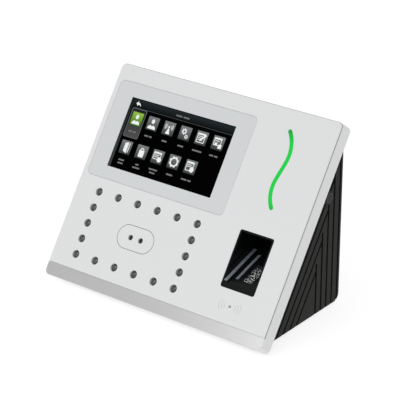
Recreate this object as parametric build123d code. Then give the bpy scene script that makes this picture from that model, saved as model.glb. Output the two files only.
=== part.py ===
"""Face and fingerprint terminal: a sloping front cover on a grooved wedge housing, with a wall bracket.

X runs to the right, Y to the rear, Z up. The origin is under the middle of the terminal, on the desk.
Pieces behind the sloping face are drawn in the face's own frame: u right, v up the face, n out of it.
"""

import os
from math import acos, atan2, cos, degrees, hypot, radians, sin, tan

from build123d import *

os.makedirs("parts", exist_ok=True)

# Front cover
cover_w = 197.6
cover_h = 168.1
cover_t = 12.5
face_tilt = 55.4  # degrees between the face and the desk
face_wall = 3.0
cover_wall = 2.4
cover_corner_r = 4.0
face_edge_r = 0.6
cover_inner_r = 1.6
side_screw_in = 23.5  # cover screws, from the cover's ends
top_screw_clear = 8.3  # from the status light's board
seam_back = 0.9  # fine groove round the cover's sides, behind the face
seam_w = 0.3
seam_d = 0.3
trim_h = 10.1
trim_t = 2.0
hairline = 0.15  # the visible joint between pieces that lie flush
inset_edge_r = 0.2  # edge of a piece that lies flush in the face
pin_gap = 0.3  # room round a plunger, stem or button
past = 1.0  # how far a cut runs past the surface that it opens

# Rear housing
side_inset = 8.5
rear_step = 4.5  # the rear plane stands this far behind the cover's top back edge
housing_wall = 2.5
flange_t = 2.5
flange_gap = 0.2
flange_r = 1.2
toe = 7.0  # solid front foot of the housing, measured up the face
heel_r = 6.0
side_edge_r = 1.2
chevron_count = 5
chevron_first = 3.7  # outermost upright groove, from the rear plane
chevron_pitch = 6.8
chevron_first_deep = 9.9  # outermost sloping groove, behind the cover
groove_w = 1.8
groove_d = 1.2
chevron_tail = 5.3  # the upright legs run this far past the tips
cap_d = 8.0
cap_from_rear = 17.2
cap_above_base = 87.3
cap_proud = 0.4
cap_t = 1.5
cap_gap = 0.1
cap_boss = 1.2  # wall round the cap's seat

# Feet
foot_d = 12.0
foot_h = 1.5
foot_sunk = 0.8
foot_edge_r = 0.5
foot_from_side = 12.3
foot_from_front = 27.87
foot_from_rear = 12.37

# Display, with its centre on the face
display_u = -31.5
display_from_top = 50.3
panel_w = 125.6
panel_h = 74.8
panel_r = 4.0
panel_t = 1.8
panel_rise = 0.5  # the panel's centre above the display's
tape_t = 0.3
tape_w = 2.6
lcd_w = 105.5
lcd_h = 67.2
lcd_t = 3.0
lcd_gap = 0.5
lcd_frame_w = 117.0
lcd_frame_h = 71.0
lcd_frame_t = 1.2
lcd_frame_r = 3.0
lcd_frame_window_w = 70.0
lcd_frame_window_h = 40.0
lcd_screw_u = 55.9
lcd_screw_v = 30.0

# Infrared lamps and cameras
ring_u = -31.8
ring_from_bottom = 45.65
lamp_columns = 6
lamp_rows = 5
lamp_pitch_u = 18.3
lamp_pitch_v = 12.25
lamp_hole_d = 6.1
lamp_d = 5.8
lamp_rim_d = 6.6
lamp_rim_h = 1.0
lamp_back = 0.3  # how far the lamp's tip lies below the face
lamp_board_n = 7.5
board_t = 1.2
board_r = 1.0
lamp_board_edge = 6.2
lamp_window_w = 49.0
lamp_window_h = 24.0
lamp_screw_in_u = 9.75  # from the outer lamps
lamp_screw_in_v = 10.5
eye_pitch = 9.3
eye_hole_d = 4.2
bezel_w = 33.0
bezel_h = 18.0
bezel_rim = 1.5
bezel_rim_t = 1.2
barrel_d = 8.0
barrel_len = 7.8
nose_gap = 0.1
nose_back = 1.6
eye_glass_d = 3.2
eye_glass_t = 1.4
eye_glass_dome = 0.5
camera_board_w = 48.0
camera_board_h = 17.0
camera_screw_u = 21.2

# Status light: two bends joined by a straight run
light_w = 2.9
light_top_r = 26.0
light_low_r = 24.0
light_top_u = 40.3  # centre of the upper bend
light_top_drop = 32.55  # below the cover's top edge
light_low_u = 86.1  # centre of the lower bend
light_low_drop = 56.25
light_top_angle = 40.0
light_low_angle = 218.5
light_depth = 5.5
light_rim = 1.1
light_rim_t = 1.4
status_board_w = 13.0
status_board_h = 73.0
status_led_size = 3.0
status_led_t = 1.5
status_led_steps = (0.1, 0.8)  # places along each bend, from its start
status_screw_v = 33.0

# Finger bay
finger_u = 64.5
finger_from_bottom = 55.35
finger_w = 28.8
finger_h = 42.3
finger_r = 1.5
finger_wall = 1.2
finger_lip = 3.6  # flush lip below the ramp
ramp_angle = 38.7  # the ramp dives under the face at this angle
ramp_floor = 3.1
ramp_front = 4.0  # the ramp's wall starts this far above its lower edge
tray_rim = 3.5
tray_rim_t = 1.5
rail_w = 3.4  # finger guides along both sides of the ramp
rail_h = 1.2
rail_r = 0.5
rail_l = 38.0
platen_w = 14.0
platen_l = 28.0
platen_from_lip = 6.0
platen_gap = 0.1
platen_proud = 0.4
platen_r = 0.5
sensor_w = 24.0
sensor_l = 33.0
sensor_h = 12.0
sensor_board_w = 26.0
sensor_board_l = 30.0

# Card aerial
card_u = 63.5
card_from_bottom = 18.05
aerial_w = 52.0
aerial_h = 22.0
aerial_t = 1.0
coil_w = 4.0
coil_t = 0.3
coil_edge = 2.0

# Wall bracket, on the rear
bracket_w = 100.0
bracket_low = 59.0  # above the base
bracket_high = 118.0
bracket_t = 1.5
bracket_r = 4.0
bracket_gap = 0.4
bracket_travel = 8.0
recess_d = 5.0
wall_hole_d = 5.0
wall_hole_x = 30.0
wall_hole_z = 20.0
hook_w = 8.0
hook_x = 41.0
hook_rise = 5.0
hook_low = 66.0  # heights of the two hook rows above the base
hook_high = 104.0
slide_gap = 0.4
tab_w = 16.0
tab_reach = 14.0
lock_from_rear = 9.0
lock_screw_d = 3.0
lock_hole_d = 3.6
lock_head_d = 5.6
lock_head_h = 2.0
lock_screw_up = 8.0
lock_boss_d = 9.0
lock_boss_h = 7.0
lock_skin = 1.5  # plastic left over the lock screw's tip
lock_hex = 1.2

# Tamper switch
tamper_x = 18.0
tamper_above_base = 92.0
plunger_d = 4.0
plunger_out = 1.5
plunger_collar_d = 6.4
plunger_collar_t = 1.2
plunger_stem_d = 2.6
plunger_stem = 2.6
plunger_tip_r = 1.0
switch_floor = 0.8
switch_size = 8.0
tamper_slot_w = 9.0

# Connector bay, open to the rear
bay_x = -10.0
bay_w = 90.0
bay_low = 8.5  # above the base
bay_high = 43.5
bay_depth = 30.0
bay_wall = 2.0
notch_w = 24.0
notch_depth = 12.0
socket_len = 14.0
socket_proud = 1.0
socket_gap = 0.3
socket_row = 28.0  # height of the socket row above the base
block_row = 15.0
ethernet_x = -42.0
ethernet_w = 16.0
ethernet_h = 14.0
ethernet_port_w = 11.8
ethernet_port_h = 8.2
ethernet_port_depth = 11.0
usb_x = -20.0
usb_w = 14.5
usb_h = 7.0
usb_port_w = 12.4
usb_port_h = 4.9
usb_port_depth = 9.0
usb_tongue_h = 1.8
usb_tongue_back = 1.5
usb_tongue_side = 0.5
usb_tongue_gap = 0.3
power_x = -2.0
power_w = 10.0
power_h = 11.0
power_port_d = 6.4
power_pin_d = 2.0
power_port_depth = 10.0
block_xs = (-36.0, -13.5, 9.0)
block_w = 20.0
block_h = 7.4
block_ways = 6
block_port = 2.4
block_port_depth = 7.0
reset_x = 14.0
reset_d = 3.6
reset_tip_r = 0.4
reset_collar_d = 5.6
reset_collar_t = 1.0
reset_stem_d = 2.0
reset_stem_in = 1.5  # how far the stem reaches into its switch
reset_floor = 2.0
reset_switch_size = 6.0
reset_switch_h = 6.4
bay_boss_x = 41.0
bay_boss_z = 12.0
bay_pilot_end = 3.0
socket_board_w = 88.0
socket_board_h = 31.0
circuit_t = 1.6

# Main board, upright behind the bracket recess
main_x = -6.0
main_w = 128.0
main_low = 50.0  # above the base
main_h = 66.0
main_boss_h = 7.0
main_screw_in = 5.0
chip_list = (  # centre across, centre above the board's lower edge, width, height, thickness
    (-22.0, 36.0, 24.0, 24.0, 2.2),
    (8.0, 44.0, 12.0, 18.0, 1.2),
    (8.0, 22.0, 12.0, 18.0, 1.2),
    (36.0, 44.0, 16.0, 10.0, 1.6),
    (32.0, 18.0, 9.0, 9.0, 1.4),
)
cell_d = 12.5
cell_t = 1.6
cell_x = -46.0
cell_above = 20.0
cell_holder_d = 15.0
cell_holder_t = 2.4
cell_gap = 0.1

# Speaker, facing down through the base
speaker_x = 60.0
speaker_y = 14.0
speaker_d = 36.0
speaker_rim_h = 4.0
speaker_cone_d = 30.0
speaker_cone_t = 0.6
speaker_cone_deep = 2.6
speaker_cone_up = 0.4
speaker_hub_d = 10.0
speaker_top_t = 1.0
magnet_d = 20.0
magnet_h = 6.0
grille_slots = 5
grille_pitch = 5.0
grille_slot_w = 2.0
grille_slot_l = 22.0

# Backup battery
battery_x = -42.0
battery_y = -12.0
battery_w = 62.0
battery_d = 34.0
battery_h = 9.0
battery_r = 3.0
clip_w = 14.0
clip_t = 1.2
clip_ear = 8.0

# Fasteners
screw_d = 2.4
screw_hole_d = 2.9
pilot_d = 2.5
pilot_end = 0.4  # pilots run this far into the face's wall
screw_head_d = 4.6
screw_head_h = 1.6
boss_d = 5.6
board_screw_l = 5.0
short_screw_l = 3.0
status_screw_l = 4.0
cover_screw_l = 7.0

# Places that follow from the sizes above
rise, run = sin(radians(face_tilt)), cos(radians(face_tilt))
depth = cover_h * run + cover_t * rise + rear_step + plunger_out
rear_y = depth / 2 - plunger_out
base_z = foot_h
display_v = cover_h / 2 - display_from_top
ring_v = ring_from_bottom - cover_h / 2
finger_v = finger_from_bottom - cover_h / 2
card_v = card_from_bottom - cover_h / 2
light_top_at = (light_top_u, cover_h / 2 - light_top_drop)
light_low_at = (light_low_u, cover_h / 2 - light_low_drop)
face_y = -depth / 2 + cover_h / 2 * run
face_z = base_z + cover_t * run + cover_h / 2 * rise
face = Plane(origin=(0, face_y, face_z), x_dir=(1, 0, 0), z_dir=(0, -rise, run))
housing_w = cover_w - 2 * side_inset
housing_top_v = cover_h / 2 - side_inset
floor_z = base_z + housing_wall
recess_floor_y = rear_y - recess_d
inner_rear_y = recess_floor_y - housing_wall
main_back_y = inner_rear_y - main_boss_h
bay_front = rear_y - bay_depth
socket_face_y = bay_front + socket_proud
socket_back_y = socket_face_y - socket_len
camera_seat = face_wall + bezel_rim_t + barrel_len
status_seat = light_depth + status_led_t
collar_y = inner_rear_y - pin_gap
cap_at = (rear_y - cap_from_rear, base_z + cap_above_base)
ramp_v = finger_v - finger_h / 2 + finger_lip
platen_at = (0, platen_from_lip + platen_l / 2)  # on the ramp, from its lower edge
ramp_frame = Plane(
    origin=(finger_u, ramp_v, 0),
    x_dir=(1, 0, 0),
    z_dir=(0, sin(radians(ramp_angle)), cos(radians(ramp_angle))),
)


def at_face(v, n):
    """Y and Z of a point on the middle of the face frame."""
    return face_y + v * run - n * rise, face_z + v * rise + n * run


def sheet(w, h, top, thick, at=(0, 0), r=0.0):
    """Flat piece in a frame's XY plane, its upper side at the height top."""
    outline = RectangleRounded(w, h, r) if r else Rectangle(w, h)
    return Pos(at[0], at[1], top) * extrude(outline, -thick)


def post(d, top, length, at=(0, 0)):
    """Round piece along the frame's Z, its upper end at the height top."""
    return Pos(at[0], at[1], top) * extrude(Circle(d / 2), -length)


def block(x, y, z):
    """Box in the world frame between two values on each axis."""
    middle = Pos((x[0] + x[1]) / 2, (y[0] + y[1]) / 2, (z[0] + z[1]) / 2)
    return middle * Box(x[1] - x[0], y[1] - y[0], z[1] - z[0])


def pin(d, y, at):
    """Round piece along Y between two values, at an X and Z."""
    centre = Plane(origin=(at[0], y[0], at[1]), x_dir=(1, 0, 0), z_dir=(0, 1, 0))
    return extrude(centre * Circle(d / 2), y[1] - y[0])


def side_prism(points, width):
    """Side outline, in Y and Z, made as wide as stated about the middle."""
    outline = Plane.YZ * make_face(Polyline(*points, close=True))
    return extrude(outline, width / 2, both=True)


def group(shapes):
    """Loose pieces of one kind, kept as separate solids."""
    return Compound(children=[Solid(s.solid().wrapped) for s in shapes])


def face_screw(at, seat, length):
    """Screw driven from behind: its head is behind the seat, its shank runs towards the face."""
    return post(screw_head_d, -seat, screw_head_h, at) + post(screw_d, length - seat, length, at)


def rear_screw(at, seat_y, length):
    """Screw driven towards the rear: its head is in front of the seat."""
    head = pin(screw_head_d, (seat_y - screw_head_h, seat_y), at)
    return head + pin(screw_d, (seat_y, seat_y + length), at)


# Where the screws stand
corners = [(a, b) for a in (-1, 1) for b in (-1, 1)]
lcd_screws = [(display_u + a * lcd_screw_u, display_v + b * lcd_screw_v) for a, b in corners]
lamp_screw_u = (lamp_columns - 1) * lamp_pitch_u / 2 - lamp_screw_in_u
lamp_screw_v = (lamp_rows - 1) * lamp_pitch_v / 2 - lamp_screw_in_v
lamp_screws = [(ring_u + a * lamp_screw_u, ring_v + b * lamp_screw_v) for a, b in corners]
camera_screws = [(ring_u + a * camera_screw_u, ring_v) for a in (-1, 1)]
status_u = (light_top_at[0] + light_top_r + light_low_at[0] - light_low_r) / 2
status_v = (light_top_at[1] + light_low_at[1]) / 2
status_screws = [(status_u, status_v + b * status_screw_v) for b in (-1, 1)]
rim_u = cover_w / 2 - cover_wall - boss_d / 2 - flange_gap
rim_v = cover_h / 2 - cover_wall - boss_d / 2 - flange_gap
cover_screws = [(a * rim_u, b * (cover_h / 2 - side_screw_in)) for a in (-1, 1) for b in (-1, 0, 1)]
top_screw_u = status_u - status_board_w / 2 - top_screw_clear
cover_screws += [(a * top_screw_u, rim_v) for a in (-1, 1)]
main_mid_z = base_z + main_low + main_h / 2
main_screw_x, main_screw_z = main_w / 2 - main_screw_in, main_h / 2 - main_screw_in
main_screws = [(main_x + a * main_screw_x, main_mid_z + b * main_screw_z) for a, b in corners]
bay_mid_z = base_z + (bay_low + bay_high) / 2
bay_screws = [(bay_x + a * bay_boss_x, bay_mid_z + b * bay_boss_z) for a, b in corners]
lamp_us = [ring_u + (i - (lamp_columns - 1) / 2) * lamp_pitch_u for i in range(lamp_columns)]
lamp_vs = [ring_v + (j - (lamp_rows - 1) / 2) * lamp_pitch_v for j in range(lamp_rows)]
lamp_grid = [(u, v) for u in lamp_us for v in lamp_vs]
lamp_places = [(u, v) for u, v in lamp_grid if u in (lamp_us[0], lamp_us[-1]) or v in (lamp_vs[0], lamp_vs[-1])]
eye_places = [(ring_u + a * eye_pitch / 2, ring_v) for a in (-1, 1)]
bracket_mid_z = base_z + (bracket_low + bracket_high) / 2
wall_holes = [(a * wall_hole_x, bracket_mid_z + b * wall_hole_z) for a, b in corners]
foot_x = housing_w / 2 - foot_from_side
foot_ys = (-depth / 2 + foot_from_front, rear_y - foot_from_rear)
foot_places = [(a * foot_x, y) for a in (-1, 1) for y in foot_ys]
tamper_at = (tamper_x, base_z + tamper_above_base)
reset_at = (reset_x, base_z + socket_row)


def light_outline(width):
    """The status light's S seen from the front, with round ends."""
    across = light_low_at[0] - light_top_at[0]
    down = light_low_at[1] - light_top_at[1]
    slant = degrees(atan2(down, across))
    turn = degrees(acos((light_top_r + light_low_r) / hypot(across, down)))
    leave = slant + turn
    upper = CenterArc(light_top_at, light_top_r, leave, light_top_angle - leave)
    lower = CenterArc(light_low_at, light_low_r, 180 + leave, light_low_angle - 180 - leave)
    middle = Line(upper @ 0, lower @ 0)
    straight = SlotCenterToCenter(middle.length, width)
    angle = degrees(atan2((middle @ 1 - middle @ 0).Y, (middle @ 1 - middle @ 0).X))
    centre = middle @ 0.5
    bends = SlotArc(upper, width) + SlotArc(lower, width)
    return bends + Pos(centre.X, centre.Y) * Rot(0, 0, angle) * straight


def cover_blank():
    """Front cover and trim in one, before they are parted."""
    blank = sheet(cover_w, cover_h, 0, cover_t, r=cover_corner_r)
    return fillet(blank.faces().sort_by(Axis.Z)[-1].edges(), face_edge_r)


def trim_zone(height):
    """Room that the bottom strip takes, up to a height above the cover's lower edge."""
    low = -cover_h / 2
    at = (0, low + (height - past) / 2)
    return sheet(cover_w + 2 * past, height + past, past, trim_t + past, at)


def make_front_cover():
    cover = cover_blank() - trim_zone(trim_h)
    through = face_wall + 2 * past
    gap = 2 * hairline
    cover -= sheet(cover_w - 2 * cover_wall, cover_h - 2 * cover_wall, -face_wall, cover_t, r=cover_inner_r)
    panel_at = (display_u, display_v + panel_rise)
    panel_deep = panel_t + tape_t + past
    cover -= sheet(panel_w + gap, panel_h + gap, past, panel_deep, panel_at, panel_r + hairline)
    cover -= sheet(lcd_w + 2 * lcd_gap, lcd_h + 2 * lcd_gap, past, through, (display_u, display_v))
    cover -= Pos(ring_u, ring_v, past) * extrude(SlotOverall(bezel_w + gap, bezel_h + gap), -through)
    cover -= Pos(0, 0, past) * extrude(light_outline(light_w + gap), -through)
    cover -= sheet(finger_w + gap, finger_h + gap, past, through, (finger_u, finger_v), finger_r + hairline)
    for place in lamp_places:
        cover -= post(lamp_hole_d, past, through, place)
    seam = sheet(cover_w + 2 * past, cover_h + 2 * past, -seam_back, seam_w)
    seam -= sheet(cover_w - 2 * seam_d, cover_h - 2 * seam_d, 0, cover_t, r=cover_corner_r - seam_d)
    cover -= seam
    seats = [(p, panel_t + lcd_t) for p in lcd_screws]
    seats += [(p, lamp_board_n) for p in lamp_screws]
    seats += [(p, camera_seat) for p in camera_screws]
    seats += [(p, status_seat) for p in status_screws]
    seats += [(p, cover_t - flange_t) for p in cover_screws]
    for place, seat in seats:
        cover += post(boss_d, -face_wall, seat - face_wall, place)
        cover -= post(pilot_d, pilot_end - face_wall, seat, place)
    return cover


def make_bottom_trim():
    return cover_blank() & trim_zone(trim_h - hairline)


def make_touch_panel():
    panel = sheet(panel_w, panel_h, 0, panel_t, (display_u, display_v + panel_rise), panel_r)
    return fillet(panel.faces().sort_by(Axis.Z)[-1].edges(), inset_edge_r)


def make_panel_tape():
    at = (display_u, display_v + panel_rise)
    ring = sheet(panel_w, panel_h, -panel_t, tape_t, at, panel_r)
    inner = (panel_w - 2 * tape_w, panel_h - 2 * tape_w)
    return ring - sheet(*inner, past - panel_t, tape_t + 2 * past, at, panel_r - tape_w)


def make_display_module():
    return sheet(lcd_w, lcd_h, -panel_t, lcd_t, (display_u, display_v))


def make_display_frame():
    top = -panel_t - lcd_t
    through = lcd_frame_t + 2 * past
    at = (display_u, display_v)
    frame = sheet(lcd_frame_w, lcd_frame_h, top, lcd_frame_t, at, lcd_frame_r)
    frame -= sheet(lcd_frame_window_w, lcd_frame_window_h, top + past, through, at, lcd_frame_r)
    for place in lcd_screws:
        frame -= post(screw_hole_d, top + past, through, place)
    return frame


def make_camera_bezel():
    bezel = Pos(ring_u, ring_v, 0) * extrude(SlotOverall(bezel_w, bezel_h), -face_wall)
    bezel = fillet(bezel.faces().sort_by(Axis.Z)[-1].edges(), inset_edge_r)
    rim = SlotOverall(bezel_w + 2 * bezel_rim, bezel_h + 2 * bezel_rim)
    bezel += Pos(ring_u, ring_v, -face_wall) * extrude(rim, -bezel_rim_t)
    for place in eye_places:
        bezel -= post(eye_hole_d, past, face_wall + bezel_rim_t + 2 * past, place)
    return bezel


def make_camera_barrels():
    barrels = []
    back = face_wall + bezel_rim_t
    for place in eye_places:
        barrel = post(barrel_d, -back, barrel_len, place)
        barrel += post(eye_hole_d - 2 * nose_gap, -nose_back, back - nose_back, place)
        barrels.append(barrel - post(eye_glass_d, 0, nose_back + eye_glass_t, place))
    return group(barrels)


def make_camera_lenses():
    lenses = []
    for place in eye_places:
        lens = post(eye_glass_d, -nose_back, eye_glass_t, place)
        ball_r = (eye_glass_d**2 / 4 + eye_glass_dome**2) / (2 * eye_glass_dome)
        dome = Pos(place[0], place[1], -nose_back + eye_glass_dome - ball_r) * Sphere(ball_r)
        lens += dome & post(eye_glass_d, -nose_back + eye_glass_dome, eye_glass_dome, place)
        lenses.append(lens)
    return group(lenses)


def make_camera_board():
    board = sheet(camera_board_w, camera_board_h, -camera_seat, board_t, (ring_u, ring_v), board_r)
    for place in camera_screws:
        board -= post(screw_hole_d, 0, camera_seat + board_t + past, place)
    return board


def make_lamp_board():
    w = (lamp_columns - 1) * lamp_pitch_u + 2 * lamp_board_edge
    h = (lamp_rows - 1) * lamp_pitch_v + 2 * lamp_board_edge
    at = (ring_u, ring_v)
    board = sheet(w, h, -lamp_board_n, board_t, at, board_r)
    board -= sheet(lamp_window_w, lamp_window_h, past - lamp_board_n, board_t + 2 * past, at, board_r)
    for place in lamp_screws:
        board -= post(screw_hole_d, 0, lamp_board_n + board_t + past, place)
    return board


def make_lamps():
    lamps = []
    for place in lamp_places:
        tip = Pos(place[0], place[1], -lamp_back - lamp_d / 2) * Sphere(lamp_d / 2)
        lamp = post(lamp_d, -lamp_back - lamp_d / 2, lamp_board_n - lamp_back - lamp_d / 2, place)
        lamps.append(lamp + tip + post(lamp_rim_d, lamp_rim_h - lamp_board_n, lamp_rim_h, place))
    return group(lamps)


def make_status_light():
    pipe = extrude(light_outline(light_w), -light_depth)
    return pipe + Pos(0, 0, -face_wall) * extrude(light_outline(light_w + 2 * light_rim), -light_rim_t)


def make_status_board():
    board = sheet(status_board_w, status_board_h, -status_seat, board_t, (status_u, status_v), board_r)
    for place in status_screws:
        board -= post(screw_hole_d, 0, status_seat + board_t + past, place)
    return board


def make_status_leds():
    upper = CenterArc(light_top_at, light_top_r, 0, light_top_angle)
    lower = CenterArc(light_low_at, light_low_r, 180, light_low_angle - 180)
    leds = []
    for bend in (upper, lower):
        for step in status_led_steps:
            spot = bend @ step
            at = (spot.X, spot.Y)
            leds.append(sheet(status_led_size, status_led_size, -light_depth, status_led_t, at))
    return group(leds)


def ramp_depth(v):
    """How far below the face the ramp lies at a height v."""
    return (v - ramp_v) * tan(radians(ramp_angle))


def finger_prism(points, width):
    """Side outline of the finger bay, in v and n, made as wide as stated."""
    outline = Plane.YZ * make_face(Polyline(*points, close=True))
    return Pos(finger_u, 0, 0) * extrude(outline, width / 2, both=True)


def make_finger_tray():
    at = (finger_u, finger_v)
    low, high = finger_v - finger_h / 2, finger_v + finger_h / 2
    under = ramp_floor / cos(radians(ramp_angle))
    deep = -ramp_depth(high + past) - under
    body = sheet(finger_w, finger_h, 0, ramp_depth(high) + under, at, finger_r)
    front, back = low - past, high + past
    keep = ((front, past), (back, past), (back, deep), (ramp_v, -under), (front, -under))
    body = body & finger_prism(keep, finger_w + 2 * past)
    rim = sheet(finger_w + 2 * tray_rim, finger_h + 2 * tray_rim, -face_wall, tray_rim_t, at, finger_r)
    rim -= sheet(finger_w - 2 * finger_wall, finger_h - 2 * finger_wall, 0, cover_t, at)
    front, edge = ramp_v + ramp_front, low + finger_wall
    lip = ((front, past), (edge, past), (edge, -under), (front, -under))
    body = body + rim + (finger_prism(lip, finger_w) & body)
    end = high - finger_wall
    hollow = ((ramp_v, 0), (end, -ramp_depth(end)), (end, past), (ramp_v, past))
    body -= finger_prism(hollow, finger_w - 2 * finger_wall)
    pocket_w, pocket_l = platen_w + 2 * platen_gap, platen_l + 2 * platen_gap
    body -= ramp_frame.location * sheet(pocket_w, pocket_l, past, ramp_floor + 2 * past, platen_at)
    for side in (-1, 1):
        across = side * (finger_w / 2 - finger_wall - rail_w / 2)
        rail = sheet(rail_w, rail_l, rail_h, rail_h, (across, rail_l / 2))
        rail = fillet(rail.faces().sort_by(Axis.Z)[-1].edges(), rail_r)
        body += ramp_frame.location * rail
    return body


def make_platen():
    plate = sheet(platen_w, platen_l, platen_proud, ramp_floor + platen_proud, platen_at, platen_r)
    return ramp_frame.location * plate


def make_sensor():
    return ramp_frame.location * sheet(sensor_w, sensor_l, -ramp_floor, sensor_h, platen_at, board_r)


def make_sensor_board():
    top = -ramp_floor - sensor_h
    return ramp_frame.location * sheet(sensor_board_w, sensor_board_l, top, board_t, platen_at, board_r)


def make_aerial_board():
    return sheet(aerial_w, aerial_h, -face_wall, aerial_t, (card_u, card_v), board_r)


def make_aerial_coil():
    top = -face_wall - aerial_t
    w, h = aerial_w - 2 * coil_edge, aerial_h - 2 * coil_edge
    at = (card_u, card_v)
    coil = sheet(w, h, top, coil_t, at, coil_edge)
    return coil - sheet(w - 2 * coil_w, h - 2 * coil_w, top + past, coil_t + 2 * past, at)


def strip(a, b, width):
    """Straight groove outline between two points of a side."""
    mid = ((a[0] + b[0]) / 2, (a[1] + b[1]) / 2)
    angle = degrees(atan2(b[1] - a[1], b[0] - a[0]))
    return Pos(*mid) * Rot(0, 0, angle) * SlotCenterToCenter(hypot(b[0] - a[0], b[1] - a[1]), width)


def chevrons():
    """Nested grooves of a side: each has an upright leg and one that runs down along the cover."""
    legs = Sketch()
    for i in range(chevron_count):
        y = rear_y - chevron_first - i * chevron_pitch
        n = -cover_t - chevron_first_deep - i * chevron_pitch
        v = (y - face_y + n * rise) / run
        tip = (y, face_z + v * rise + n * run)
        low = base_z - groove_w
        low_v = (low - face_z - n * run) / rise
        legs += strip((y, low), (y, tip[1] + chevron_tail), groove_w)
        legs += strip(tip, at_face(low_v, n), groove_w)
    return Plane.YZ * legs


def housing_blank():
    top = at_face(housing_top_v, -cover_t)
    drop = (rear_y - top[0]) * run / rise
    outline = (at_face(-cover_h / 2, -cover_t), (rear_y, base_z), (rear_y, top[1] - drop), top)
    blank = side_prism(outline, housing_w)
    heel = blank.edges().filter_by(Axis.X).filter_by(
        lambda e: abs(e.center().Y - rear_y) < 0.1 and abs(e.center().Z - base_z) < 0.1
    )
    blank = fillet(heel, heel_r)
    sides = [f for f in blank.faces() if abs(abs(f.center().X) - housing_w / 2) < 0.01]
    edges = [e for f in sides for e in f.edges() if not on_cover_back(e)]
    return fillet(edges, side_edge_r)


def on_cover_back(edge):
    """Whether an edge lies against the back of the front cover."""
    ends = [edge @ 0, edge @ 1]
    return all(abs(face.to_local_coords(p).Z + cover_t) < 0.01 for p in ends)


def housing_cavity():
    top_v = housing_top_v - housing_wall
    top = at_face(top_v, flange_t + past - cover_t)
    rear = rear_y - housing_wall
    toe_v = toe - cover_h / 2
    toe_top = at_face(toe_v, -cover_t)
    drop = (rear - top[0]) * run / rise
    outline = (
        at_face(toe_v, flange_t + past - cover_t),
        top,
        (rear, top[1] - drop),
        (rear, floor_z),
        (toe_top[0], floor_z),
        toe_top,
    )
    return side_prism(outline, housing_w - 2 * housing_wall)


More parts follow.
